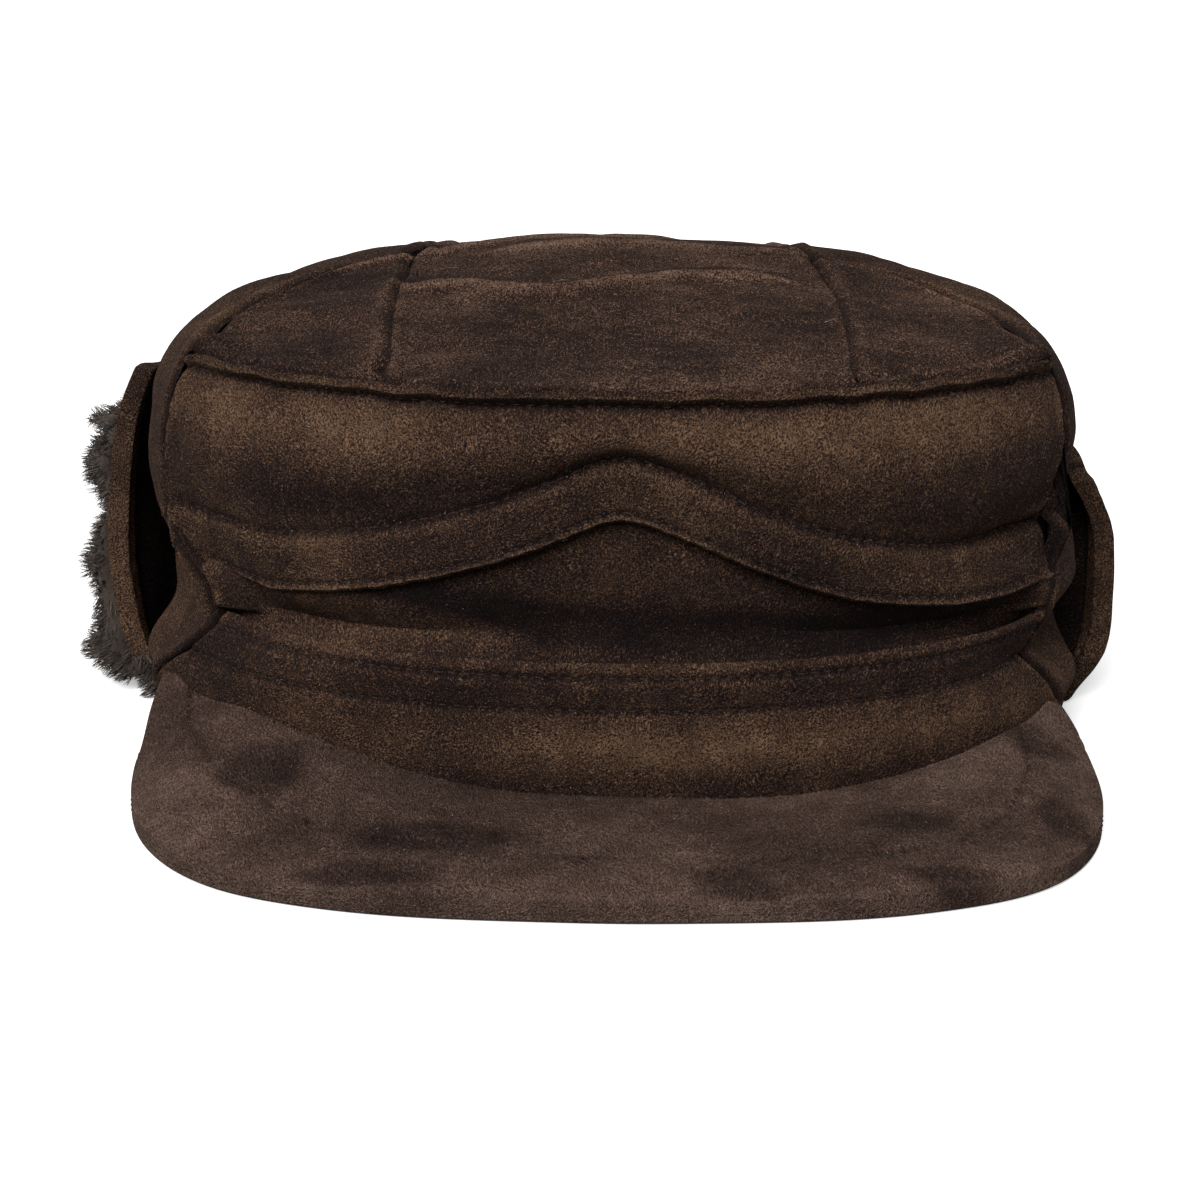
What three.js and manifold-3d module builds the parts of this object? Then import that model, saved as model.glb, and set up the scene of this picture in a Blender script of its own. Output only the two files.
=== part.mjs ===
// A suede winter cap lying on a table: a soft flat crown of seamed panels, a puffed front yoke with a
// chevron hem, a headband, a wide flat peak, and a flap lined with fur that is folded up round the
// sides and the back. Millimetres, +Z up, the peak towards -Y, the wearer's left towards +X.
import * as THREE from "three";
import { mergeVertices } from "three/addons/utils/BufferGeometryUtils.js";
import Module from "manifold-3d";

const wasm = await Module();
wasm.setup();

// Crown
const CROWN_HALF_WIDTH = 102;
const CROWN_FRONT = 99.5;
const CROWN_BACK = 112;
const RIDGE_HEIGHT = 89.5;
const DOME_RISE = 10.5;
const DOME_SIDE_DROP = 5.5;
const CROWN_ROUNDNESS = 0.93;
const SHOULDER_ROUNDNESS = 2.4;
const SHOULDER_PUFF = 1.2;
const TOP_PUFF = 1.2;

// Front
const BAND_HEIGHT = 35;
const BAND_PUFF = 2.4;
const HEM_SIDE_HEIGHT = 43;
const HEM_APEX_HEIGHT = 64.2;
const YOKE_FOLD = 13;
const RIDGE_STRIP = 3.5;
const YOKE_PUFF = 4.5;
const WAIST_DEPTH = 5;

// Peak
const PEAK_HALF_WIDTH = 98.5;
const PEAK_REACH = 143.5;
const PEAK_END_ANGLE = 66;
const PEAK_ROOT_TOP = 6.5;
const PEAK_END_LIFT = 12;
const PEAK_ARCH = 1.2;
const PEAK_COVER = 2.2;
const PEAK_FACING = 1.6;

// Flap
const FLAP_HEIGHT = 80;
const FLAP_STAND_LEFT = 8;
const FLAP_STAND_RIGHT = 5.5;
const FLAP_FLARE_LEFT = 4.2;
const FLAP_FLARE_RIGHT = 7;
const FLAP_FRONT_ANGLE = 91;

// Fur on the flap's outer side
const FUR_BACKING = 1.4;
const FUR_PILE_LEFT = 12.5;
const FUR_PILE_RIGHT = 7;
const LOCK_WIDTH = 11;
const LOCK_HEIGHT = 14;
const LOCK_COLUMNS = 8;
const LOCK_SIDES = 5;
// A lock's foot: half its height as a share of LOCK_HEIGHT, and where it starts inside the backing.
const LOCK_FOOT = 0.6;
const LOCK_SINK = 0.4;
// How far every second row of locks is set over, as a share of a column.
const LOCK_STAGGER = 0.4;

// Leather and clearances
const WALL = 2;
const SEAM_GAP = 0.35;
// Degrees a leaf panel's corner keeps from the side panel, which turns over there.
const LEAF_CORNER_GAP = 1.8;
const LAP_GAP = 0.6;
const FUR_GAP = 0.7;
const PLY_GAP = 0.6;
const FLOOR_GAP = 0.1;

const RIGHT = 1;
const LEFT = -1;

// The crown's plan at each height: heights as shares of RIDGE_HEIGHT, the rest as shares of the crown's
// half width, front and back.
const WALL_PROFILE = [
  { height: 0, width: 0.98, front: 0.878, back: 0.935 },
  { height: 0.25, width: 0.985, front: 0.91, back: 0.955 },
  { height: 0.5, width: 0.99, front: 0.94, back: 0.98 },
  { height: 0.75, width: 1, front: 0.97, back: 1 },
  { height: 1, width: 0.995, front: 1, back: 0.985 },
];

// Where the front meets the side panels: heights as shares of RIDGE_HEIGHT, angles in degrees from the
// front.
const SIDE_SEAM = [
  { height: 0, left: 76, right: 73 },
  { height: 0.078, left: 75, right: 71 },
  { height: 0.145, left: 72, right: 67 },
  { height: 0.195, left: 68.5, right: 64 },
  { height: 0.242, left: 65.5, right: 61.5 },
  { height: 0.285, left: 61, right: 59.5 },
  { height: 0.34, left: 57, right: 60 },
  { height: 0.391, left: 56, right: 61 },
  { height: 0.436, left: 56, right: 61.5 },
  { height: 0.48, left: 56.5, right: 61 },
  { height: 0.488, left: 57, right: 60.7 },
  { height: 0.502, left: 58, right: 60.4 },
  { height: 0.56, left: 61, right: 59.5 },
  { height: 0.626, left: 64, right: 59 },
  { height: 0.699, left: 65.5, right: 61.5 },
  { height: 0.793, left: 65, right: 63.5 },
  { height: 0.894, left: 62.5, right: 62 },
  { height: 0.961, left: 60, right: 60 },
  { height: 0.983, left: 59.2, right: 59.2 },
  { height: 1, left: 58.5, right: 58.5 },
];

// Dents and bulges in the wall: angle and reach in degrees, height and rise as shares of RIDGE_HEIGHT,
// depth as a share of WAIST_DEPTH, outwards where it is above zero.
const WALL_FOLDS = [
  { side: LEFT, angle: 60, height: 0.42, reach: 20, rise: 0.09, depth: -1.2 },
  { side: LEFT, angle: 86, height: 0.3, reach: 15, rise: 0.06, depth: -0.5 },
  { side: LEFT, angle: 72, height: 0.18, reach: 9, rise: 0.07, depth: 0.6 },
  { side: RIGHT, angle: 62, height: 0.615, reach: 20, rise: 0.05, depth: -1.2 },
  { side: RIGHT, angle: 66, height: 0.45, reach: 14, rise: 0.06, depth: 0.6 },
  { side: RIGHT, angle: 62, height: 0.3, reach: 14, rise: 0.06, depth: -1.2 },
  { side: RIGHT, angle: 74, height: 0.13, reach: 9, rise: 0.05, depth: 0.5 },
];

// The long seams of the top: along as shares of the crown's front or back reach, across of its half width.
const LONG_SEAM = [
  { along: -1, across: 0.44 },
  { along: -0.6, across: 0.475 },
  { along: -0.2, across: 0.487 },
  { along: 0.13, across: 0.475 },
  { along: 0.3, across: 0.45 },
  { along: 0.5, across: 0.43 },
  { along: 0.75, across: 0.385 },
];
// Where along the top the leaf panels end in a tip, and where the back panel starts.
const TIP_ALONG = 0.3;
const REAR_ALONG = 0.75;
// The seam between each leaf panel and the side panel, from the ridge's corner to the leaf's tip.
const LEAF_ARC = [
  { along: -0.2, across: 0.804 },
  { along: -0.04, across: 0.765 },
  { along: 0.116, across: 0.686 },
  { along: 0.215, across: 0.58 },
  { along: 0.3, across: 0.47 },
];

// A place inside each leaf panel: its outer edge is drawn in towards it by the seam's gap.
const LEAF_CENTRE = { along: -0.1, across: 0.42 };

// The middle line of the top: height as a share of DOME_RISE over the ridge.
const DOME_LINE = [
  { along: -1, height: -0.05 },
  { along: -0.8, height: 0.12 },
  { along: -0.6, height: 0.3 },
  { along: -0.4, height: 0.5 },
  { along: -0.21, height: 0.74 },
  { along: -0.08, height: 0.64 },
  { along: 0.07, height: 0.76 },
  { along: 0.19, height: 0.94 },
  { along: 0.26, height: 0.86 },
  { along: 0.33, height: 0.99 },
  { along: 0.45, height: 1 },
  { along: 0.6, height: 0.86 },
  { along: 0.78, height: 0.4 },
];

// The share of the half width at which the top lies DOME_SIDE_DROP under its middle line.
const DOME_HALF_SPAN = 0.86;

// The band from the rim up: heights as shares of BAND_HEIGHT, bulge as shares of BAND_PUFF.
const BAND_ROWS = [
  { height: 0, puff: 0 },
  { height: 0.2, puff: 0.3 },
  { height: 0.37, puff: 0.65 },
  { height: 0.5, puff: 0.85 },
  { height: 0.62, puff: 0.95 },
  { height: 0.73, puff: 0.9 },
  { height: 0.87, puff: 1 },
  { height: 0.96, puff: 0.85 },
  { height: 1, puff: 0.35 },
];

// The lower front panel: from behind the band (0) to the hem (1) and a lap behind it.
const PANEL_ROWS = [
  { share: -0.9, depth: 0 },
  { share: -0.4, depth: 0.05 },
  { share: 0.06, depth: 0.75 },
  { share: 0.22, depth: 1 },
  { share: 0.45, depth: 0.55 },
  { share: 0.75, depth: 0.1 },
  { share: 1, depth: 0 },
  { share: 1.35, depth: 0 },
];
// The panel's valley runs out over this share of the front at each side seam.
const WAIST_END_SPAN = 0.22;
const PANEL_LAP = 9;
const PANEL_HEM_LAP = 1.5 * PANEL_LAP;

// The hem's height from the middle (0) to a side seam (1): a share of the rise from its sides to its apex.
const HEM_LINE = [
  { across: 0, rise: 1 },
  { across: 0.11, rise: 0.745 },
  { across: 0.22, rise: 0.52 },
  { across: 0.32, rise: 0.345 },
  { across: 0.43, rise: 0.18 },
  { across: 0.56, rise: 0.07 },
  { across: 0.71, rise: -0.02 },
  { across: 1, rise: 0 },
];

// The yoke from the hem to the ridge: a share of its folded strip, then of the puffed stretch above it,
// then of the strip under the ridge. Puff is a share of YOKE_PUFF.
const YOKE_ROWS = [
  { fold: 0, rise: 0, strip: 0, puff: 0 },
  { fold: 0.05, rise: 0, strip: 0, puff: 0.26 },
  { fold: 0.15, rise: 0, strip: 0, puff: 0.14 },
  { fold: 0.55, rise: 0, strip: 0, puff: 0.32 },
  { fold: 1, rise: 0, strip: 0, puff: 0.02 },
  { fold: 1, rise: 0.22, strip: 0, puff: 0.75 },
  { fold: 1, rise: 0.5, strip: 0, puff: 1 },
  { fold: 1, rise: 0.8, strip: 0, puff: 0.55 },
  { fold: 1, rise: 1, strip: 0, puff: -0.15 },
  { fold: 1, rise: 1, strip: 0.57, puff: 0.26 },
  { fold: 1, rise: 1, strip: 1, puff: 0.14 },
];

// The yoke is pulled flat towards its side seams: how much puff is left there, and over which share.
const YOKE_END_PUFF = 0.35;
const YOKE_END_SPAN = 0.2;

// Half of the peak's outline from the front centre: across and forward as shares of its sizes.
const PEAK_OUTLINE = [
  { across: 0, left: 1, right: 1 },
  { across: 0.43, left: 0.975, right: 0.982 },
  { across: 0.714, left: 0.906, right: 0.915 },
  { across: 0.849, left: 0.822, right: 0.84 },
  { across: 0.95, left: 0.685, right: 0.7 },
  { across: 1, left: 0.52, right: 0.52 },
  { across: 1, left: 0.4, right: 0.4 },
  { across: 0.985, left: 0.25, right: 0.25 },
];

// How far the peak's root lies above its height at the front, from the middle (0) to an end (1), as a
// share of PEAK_END_LIFT.
const PEAK_ROOT = [
  { along: 0, left: 0, right: 0 },
  { along: 0.18, left: 0.06, right: -0.06 },
  { along: 0.3, left: 0.21, right: -0.05 },
  { along: 0.43, left: 0.46, right: 0.02 },
  { along: 0.5, left: 0.64, right: 0.08 },
  { along: 0.6, left: 0.84, right: 0.24 },
  { along: 0.72, left: 1, right: 0.42 },
  { along: 0.85, left: 0.9, right: 0.5 },
  { along: 1, left: 0.65, right: 0.42 },
];
// The peak's rows, as shares of the way from the band to its edge.
const PEAK_STOPS = [
  { stop: 0 },
  { stop: 0.3 },
  { stop: 0.62 },
  { stop: 0.86 },
  { stop: 0.96 },
  { stop: 1 },
];

// The flap's outer face from the rim fold up: out as a share of its stand, height of FLAP_HEIGHT, and how
// much of the front edge's flare each row takes on each side.
const FLAP_ROWS = [
  { out: 0, height: 0, left: 0, right: 0 },
  { out: 0.38, height: 0.002, left: 0, right: 0 },
  { out: 0.8, height: 0.035, left: 0, right: 0.3 },
  { out: 0.97, height: 0.1, left: 0.1, right: 0.7 },
  { out: 1, height: 0.22, left: 0.6, right: 1 },
  { out: 1, height: 0.37, left: 1, right: 0.95 },
  { out: 1, height: 0.55, left: 0.95, right: 0.72 },
  { out: 0.95, height: 0.7, left: 0.7, right: 0.5 },
  { out: 0.85, height: 0.83, left: 0.35, right: 0.2 },
  { out: 0.74, height: 0.93, left: 0, right: 0 },
  { out: 0.66, height: 1, left: -0.4, right: -0.2 },
];
// The flap's top edge, from its front edge (0) to the middle of the back (1), as shares of FLAP_HEIGHT.
const FLAP_TOP = [
  { along: 0, left: 0.96, right: 0.77 },
  { along: 0.05, left: 0.95, right: 0.86 },
  { along: 0.12, left: 0.92, right: 0.9 },
  { along: 0.25, left: 0.9, right: 0.9 },
  { along: 0.6, left: 0.88, right: 0.88 },
  { along: 1, left: 0.88, right: 0.88 },
];
// The share of the flap over which its front edge flares out, and how its columns crowd towards it.
const FLAP_FLARE_SPAN = 0.11;
const FLAP_CROWDING = 1.35;
// Where the fur starts behind the flap's front edge.
const FUR_FRONT_LEFT = 0.045;
const FUR_FRONT_RIGHT = 0.09;
// The fur's lower and upper edge, as shares of the way through the flap's rows.
const FUR_BOTTOM = 0.28;
const FUR_TOP = 0.95;

// Rows of locks: height as a share of the fur, size of a lock, droop of its tip in lock heights.
const LOCK_ROWS = [
  { height: 0.12, size: 0.9, pile: 0.9, droop: 0.35 },
  { height: 0.37, size: 1.1, pile: 1, droop: 0.5 },
  { height: 0.62, size: 1, pile: 0.75, droop: 0.5 },
  { height: 0.85, size: 1, pile: 0.95, droop: 0.3 },
];

const dull = (color, roughness) => new THREE.MeshStandardMaterial({ color, roughness });
const SUEDE = dull(0x54443a, 0.95);
const SMOOTH_LEATHER = dull(0x2c2320, 0.7);
const FUR_HAIR = dull(0x6b5d50, 1);

const { lerp, clamp, degToRad, smoothstep } = THREE.MathUtils;
const sideKey = (side) => (side === LEFT ? "left" : "right");
const power = (value, exponent) => Math.sign(value) * Math.abs(value) ** exponent;

// One column of a table at a place along it, straight between its rows.
function read(table, key, at, column) {
  let i = 1;
  while (i < table.length - 1 && table[i][key] < at) i++;
  const [a, b] = [table[i - 1], table[i]];
  return lerp(a[column], b[column], clamp((at - a[key]) / (b[key] - a[key]), 0, 1));
}

// A table row's value at a share of the way through the table, for walls whose rows are the table's own.
function readRow(table, share, column) {
  const place = clamp(share, 0, 1) * (table.length - 1);
  const i = Math.min(Math.floor(place), table.length - 2);
  return lerp(table[i][column], table[i + 1][column], place - i);
}

const alongY = (along) => along * (along < 0 ? CROWN_FRONT : CROWN_BACK);
const alongOf = (y) => y / (y < 0 ? CROWN_FRONT : CROWN_BACK);
const inPlan = (side, place) =>
  new THREE.Vector2(side * CROWN_HALF_WIDTH * place.across, alongY(place.along));

function merged(geometry) {
  geometry.deleteAttribute("normal");
  geometry.deleteAttribute("uv");
  return mergeVertices(geometry, 1e-3);
}

// The outward direction of a surface whose u runs to the right and v up, seen from outside.
function outward(surface, u, v) {
  const step = 0.004;
  const along = surface(Math.min(u + step, 1), v).sub(surface(Math.max(u - step, 0), v));
  const up = surface(u, Math.min(v + step, 1)).sub(surface(u, Math.max(v - step, 0)));
  return along.cross(up).normalize();
}

const upright = () => new THREE.Vector3(0, 0, 1);

// The outward direction of a wall that stands on the table: its rim is cut level.
function standing(surface, u, v) {
  const direction = outward(surface, u, v);
  return v === 0 ? direction.setZ(0).normalize() : direction;
}

// A closed wall between two depths under a surface, measured along a direction.
function bentWall(columns, rows, surface, thickness, depth = 0, direction = outward) {
  const geometry = new THREE.BoxGeometry(1, 1, 1, columns, rows, 1);
  const places = geometry.attributes.position;
  for (let i = 0; i < places.count; i++) {
    const u = places.getX(i) + 0.5;
    const v = places.getY(i) + 0.5;
    const inwards = depth + (0.5 - places.getZ(i)) * thickness;
    const point = surface(u, v).addScaledVector(direction(surface, u, v), -inwards);
    places.setXYZ(i, point.x, point.y, point.z);
  }
  return merged(geometry);
}

// A panel from the rim to the top, with the side seams' rows.
const tallWall = (columns, surface) => bentWall(columns, SIDE_SEAM.length - 1, surface, WALL, 0, standing);

function piece(name, geometry, material) {
  const mesh = new THREE.Mesh(geometry, material);
  mesh.name = name;
  return mesh;
}

// The crown's wall without its folds, at an angle from the front and a distance out of the wall.
function plainWall(angle, height, out) {
  const share = height / RIDGE_HEIGHT;
  const s = Math.sin(degToRad(angle));
  const c = Math.cos(degToRad(angle));
  const width = CROWN_HALF_WIDTH * read(WALL_PROFILE, "height", share, "width");
  const reach =
    c > 0
      ? CROWN_FRONT * read(WALL_PROFILE, "height", share, "front")
      : CROWN_BACK * read(WALL_PROFILE, "height", share, "back");
  const normal = new THREE.Vector3(
    power(s, 2 - CROWN_ROUNDNESS) / width,
    -power(c, 2 - CROWN_ROUNDNESS) / reach,
    0,
  ).normalize();
  return new THREE.Vector3(
    width * power(s, CROWN_ROUNDNESS),
    -reach * power(c, CROWN_ROUNDNESS),
    height,
  ).addScaledVector(normal, out);
}

function foldAt(angle, height) {
  let total = 0;
  for (const fold of WALL_FOLDS) {
    const across = (angle - fold.side * fold.angle) / fold.reach;
    const up = (height / RIDGE_HEIGHT - fold.height) / fold.rise;
    total += fold.depth * WAIST_DEPTH * Math.exp(-across * across - up * up);
  }
  return total;
}

const crownWall = (angle, height, out) => plainWall(angle, height, out + foldAt(angle, height));

// Millimetres of wall in one degree, and a gap with room for the curve of the walls beside it.
const MM_PER_DEGREE = degToRad(1) * CROWN_HALF_WIDTH;
const CURVED_SEAM_GAP = 1.3 * SEAM_GAP;

const seamAngle = (side, height) => side * read(SIDE_SEAM, "height", height / RIDGE_HEIGHT, sideKey(side));

// Half of a seam's gap as an angle, wider where the seam runs at a slant, so its clear width is the same.
function seamHalfGap(side, height) {
  const step = 2;
  const slope = (seamAngle(side, height + step) - seamAngle(side, height - step)) / (2 * step);
  return CURVED_SEAM_GAP * Math.hypot(1 / MM_PER_DEGREE, slope);
}

// The angle across the front from the left side seam (u = 0) over the middle (0.5) to the right seam (1).
function frontAngle(u, height) {
  const left = seamAngle(LEFT, height) + seamHalfGap(LEFT, height);
  const right = seamAngle(RIGHT, height) - seamHalfGap(RIGHT, height);
  return u < 0.5 ? lerp(left, 0, 2 * u) : lerp(0, right, 2 * u - 1);
}

// How near a place across the front is to its middle: 1 there, 0 at both side seams.
const middleness = (u) => 1 - Math.abs(2 * u - 1);
const hemHeight = (u) =>
  lerp(HEM_SIDE_HEIGHT, HEM_APEX_HEIGHT, read(HEM_LINE, "across", 1 - middleness(u), "rise"));

function bandSurface(u, v) {
  const height = BAND_HEIGHT * readRow(BAND_ROWS, v, "height");
  return crownWall(frontAngle(u, height), height, BAND_PUFF * readRow(BAND_ROWS, v, "puff"));
}

function panelSurface(u, v) {
  const share = readRow(PANEL_ROWS, v, "share");
  const clear = hemHeight(u) - BAND_HEIGHT;
  const height =
    share < 0
      ? BAND_HEIGHT + share * PANEL_LAP
      : share > 1
        ? hemHeight(u) + (share - 1) * PANEL_HEM_LAP
        : BAND_HEIGHT + share * clear;
  const sag = WAIST_DEPTH * smoothstep(middleness(u), 0, WAIST_END_SPAN);
  const out = -WALL - LAP_GAP - sag * readRow(PANEL_ROWS, v, "depth");
  return crownWall(frontAngle(u, height), height, out);
}

function yokeSurface(u, v) {
  const hem = hemHeight(u);
  const stretch = RIDGE_HEIGHT - RIDGE_STRIP - YOKE_FOLD - hem;
  const height =
    hem +
    YOKE_FOLD * readRow(YOKE_ROWS, v, "fold") +
    stretch * readRow(YOKE_ROWS, v, "rise") +
    RIDGE_STRIP * readRow(YOKE_ROWS, v, "strip");
  const swell = lerp(YOKE_END_PUFF, 1, smoothstep(middleness(u), 0, YOKE_END_SPAN));
  const out = YOKE_PUFF * readRow(YOKE_ROWS, v, "puff") * swell;
  return crownWall(frontAngle(u, height), height, out);
}

const seamAcross = (y) => CROWN_HALF_WIDTH * read(LONG_SEAM, "along", alongOf(y), "across");

// The top's height over any place, a shallow dome with cross folds.
function domeHeight(x, y) {
  const rise = DOME_RISE * read(DOME_LINE, "along", alongOf(y), "height");
  return RIDGE_HEIGHT + rise - DOME_SIDE_DROP * (x / (DOME_HALF_SPAN * CROWN_HALF_WIDTH)) ** 2;
}

// Columns of the side panels, and how many of them run along a leaf panel: the leaves have as many rows.
const SIDE_COLUMNS = 13;
const ARC_COLUMNS = 7;

const onDome = (x, y, puff = 0) => new THREE.Vector3(x, y, domeHeight(x, y) + puff);
const ridgePlan = (angle, out) => plainWall(angle, RIDGE_HEIGHT, out);
const swellOf = (u, v) => Math.sin(Math.PI * u) * Math.sin(Math.PI * v);

// The angle on the ridge where a long seam starts, found by halving the range that holds it.
function longSeamStart(out) {
  let [low, high] = [0, 80];
  for (let i = 0; i < 30; i++) {
    const angle = (low + high) / 2;
    const place = ridgePlan(angle, out);
    if (place.x < seamAcross(place.y)) low = angle;
    else high = angle;
  }
  return low;
}

// The top's panels stop short of the yoke's inner face, which its puff moves at the ridge.
const TOP_INSET = WALL + 0.2 * YOKE_PUFF + 1.5 * SEAM_GAP;
const LONG_SEAM_ANGLE = longSeamStart(-TOP_INSET);
const REAR_Y = alongY(REAR_ALONG);
const TIP_Y = alongY(TIP_ALONG);

function topCentreSurface(u, v) {
  const front = ridgePlan(lerp(-LONG_SEAM_ANGLE, LONG_SEAM_ANGLE, u), -TOP_INSET);
  const y = v < 0.5 ? lerp(front.y, TIP_Y, 2 * v) : lerp(TIP_Y, REAR_Y - SEAM_GAP / 2, 2 * v - 1);
  const x = (2 * u - 1) * (seamAcross(y) - SEAM_GAP / 2);
  return onDome(x, y, TOP_PUFF * swellOf(u, v));
}

// The curve from the ridge's corner round the leaf panel to its tip, in plan.
function arcPoint(side, t) {
  const corner = ridgePlan(seamAngle(side, RIDGE_HEIGHT), 0);
  const places = LEAF_ARC.map((row) => inPlan(side, row));
  return new THREE.SplineCurve([new THREE.Vector2(corner.x, corner.y), ...places]).getPoint(t);
}

// The side panel stands upright at the front seam and turns over to flat within its first column.
const turned = (along) => smoothstep(along, 0, 1 / SIDE_COLUMNS);

function leafSurface(side) {
  const seamRidge = side * (LONG_SEAM_ANGLE + SEAM_GAP / MM_PER_DEGREE);
  const cornerRidge = seamAngle(side, RIDGE_HEIGHT) - side * LEAF_CORNER_GAP;
  const centre = inPlan(side, LEAF_CENTRE);
  const inner = (t) => {
    const y = lerp(ridgePlan(seamRidge, -TOP_INSET).y, TIP_Y, t);
    return new THREE.Vector2(side * (seamAcross(y) + SEAM_GAP / 2), y);
  };
  const outer = (t) => {
    const place = arcPoint(side, t);
    const pull = SEAM_GAP + TOP_INSET * (1 - turned((t * ARC_COLUMNS) / SIDE_COLUMNS));
    return place.addScaledVector(centre.clone().sub(place).normalize(), pull);
  };
  return (u, v) => {
    const across = side === RIGHT ? u : 1 - u;
    const ridge = ridgePlan(lerp(seamRidge, cornerRidge, across), -TOP_INSET);
    const chord = ridgePlan(seamRidge, -TOP_INSET).lerp(ridgePlan(cornerRidge, -TOP_INSET), across);
    const place = inner(v).lerp(outer(v), across);
    const x = place.x + (1 - v) * (ridge.x - chord.x);
    const y = place.y + (1 - v) * (ridge.y - chord.y);
    return onDome(x, y, TOP_PUFF * 0.8 * swellOf(u, v));
  };
}

// Where the side panels meet the back panel, in degrees from the front, with half of the seam's gap.
const BACK_ANGLE = 160;
const BACK_HALF_GAP = (0.75 * SEAM_GAP) / MM_PER_DEGREE;
// The share of RIDGE_HEIGHT at which the walls start to round over to the top.
const SHOULDER_START = 0.72;
// How far round from its front seam a side panel's rows take to even out.
const SEAM_ROWS_SPAN = 0.6;

// Mesh positions are 32-bit numbers, so a share read from them can be this much off.
const FLOAT_STEP = 1e-5;

// The side panel's top edge at a share of the way from the ridge's corner to its rear corner.
function sideTopEdge(side, along) {
  const tip = ARC_COLUMNS / SIDE_COLUMNS;
  if (along <= tip + FLOAT_STEP) {
    const place = arcPoint(side, Math.min(along / tip, 1));
    return onDome(place.x, place.y);
  }
  const y = lerp(TIP_Y, REAR_Y, (along - tip) / (1 - tip));
  return onDome(side * (seamAcross(y) + SEAM_GAP / 2), y);
}

// From upright wall over a round shoulder to a top edge: share 0 is the shoulder's start, 1 the edge.
function shoulder(wall, edge, share) {
  const turn = (share * Math.PI) / 2;
  const inwards = 1 - Math.cos(turn) ** (2 / SHOULDER_ROUNDNESS);
  const upwards = Math.sin(turn) ** (2 / SHOULDER_ROUNDNESS);
  const point = wall.clone().lerp(edge, inwards);
  point.z = lerp(wall.z, edge.z, upwards);
  const away = new THREE.Vector3().subVectors(wall, edge).setZ(0);
  if (away.length() > 1) {
    away.normalize().multiplyScalar(Math.cos(turn)).setZ(Math.sin(turn));
    point.addScaledVector(away, SHOULDER_PUFF * Math.sin(2 * turn) ** 2);
  }
  return point;
}

function sideSurface(side) {
  return (u, v) => {
    const along = side === RIGHT ? u : 1 - u;
    const level = lerp(readRow(SIDE_SEAM, v, "height"), v, smoothstep(along, 0, SEAM_ROWS_SPAN));
    const height = level * RIDGE_HEIGHT;
    const front = seamAngle(side, height) + side * seamHalfGap(side, height);
    const back = side * (BACK_ANGLE - BACK_HALF_GAP);
    const angle = lerp(front, back, along);
    const wall = crownWall(angle, height, 0);
    if (level <= SHOULDER_START) return wall;
    const start = crownWall(angle, SHOULDER_START * RIDGE_HEIGHT, 0);
    const share = (level - SHOULDER_START) / (1 - SHOULDER_START);
    const over = shoulder(start, sideTopEdge(side, along), share);
    return wall.lerp(over, turned(along));
  };
}

function backSurface(u, v) {
  const height = v * RIDGE_HEIGHT;
  const angle = lerp(BACK_ANGLE + BACK_HALF_GAP, 360 - BACK_ANGLE - BACK_HALF_GAP, u);
  if (v <= SHOULDER_START) return crownWall(angle, height, 0);
  const start = crownWall(angle, SHOULDER_START * RIDGE_HEIGHT, 0);
  const rear = REAR_Y + SEAM_GAP / 2;
  const edge = onDome((1 - 2 * u) * (seamAcross(rear) - SEAM_GAP / 2), rear);
  return shoulder(start, edge, (v - SHOULDER_START) / (1 - SHOULDER_START));
}

// The edge leaves the table towards each end of the peak and follows the root's lift there.
const PEAK_TIP_START = 0.75;
const PEAK_TIP_LIFT = 0.85;
const PEAK_THICKNESS = PEAK_COVER + PLY_GAP + PEAK_FACING;

// The peak's outer edge as a smooth curve from the left end (u = 0) to the right one (u = 1).
function peakEdge(u) {
  const side = u < 0.5 ? LEFT : RIGHT;
  const places = PEAK_OUTLINE.map(
    (row) => new THREE.Vector2(side * PEAK_HALF_WIDTH * row.across, -PEAK_REACH * row[sideKey(side)]),
  );
  const place = new THREE.SplineCurve(places).getPointAt(Math.abs(2 * u - 1));
  return new THREE.Vector3(place.x, place.y, 0);
}

// The peak's upper face, v from its edge (0) to the band (1).
function peakSurface(u, v) {
  const share = 1 - readRow(PEAK_STOPS, 1 - v, "stop");
  const towardsEnd = Math.abs(2 * u - 1);
  const lift = PEAK_END_LIFT * read(PEAK_ROOT, "along", towardsEnd, sideKey(u < 0.5 ? LEFT : RIGHT));
  const top = PEAK_ROOT_TOP + lift;
  const out = BAND_PUFF * read(BAND_ROWS, "height", top / BAND_HEIGHT, "puff") + CURVED_SEAM_GAP;
  const root = crownWall(PEAK_END_ANGLE * (2 * u - 1), top, out);
  const edge = peakEdge(u);
  edge.z = FLOOR_GAP + PEAK_THICKNESS + PEAK_TIP_LIFT * lift * smoothstep(towardsEnd, PEAK_TIP_START, 1);
  const point = edge.lerp(root, share);
  point.z += PEAK_ARCH * Math.sin(Math.PI * share) * (1 - towardsEnd ** 2);
  return point;
}

const flapStand = (side) => (side === LEFT ? FLAP_STAND_LEFT : FLAP_STAND_RIGHT);
const flapFlare = (side) => (side === LEFT ? FLAP_FLARE_LEFT : FLAP_FLARE_RIGHT);

// A place on or off the flap's outer face: along runs from its front edge to the middle of the back.
function flapPoint(side, along, row, off) {
  const top = FLAP_HEIGHT * read(FLAP_TOP, "along", along, sideKey(side));
  const height = 3 * FLOOR_GAP + top * readRow(FLAP_ROWS, row, "height");
  const nearFront = 1 - smoothstep(along, 0, FLAP_FLARE_SPAN);
  const flare = flapFlare(side) * readRow(FLAP_ROWS, row, sideKey(side)) * nearFront;
  const out = 1.5 * SEAM_GAP + flapStand(side) * readRow(FLAP_ROWS, row, "out") + flare;
  const angle = side * lerp(FLAP_FRONT_ANGLE, 180 - BACK_HALF_GAP, along);
  return plainWall(angle, height, out + off);
}

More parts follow.
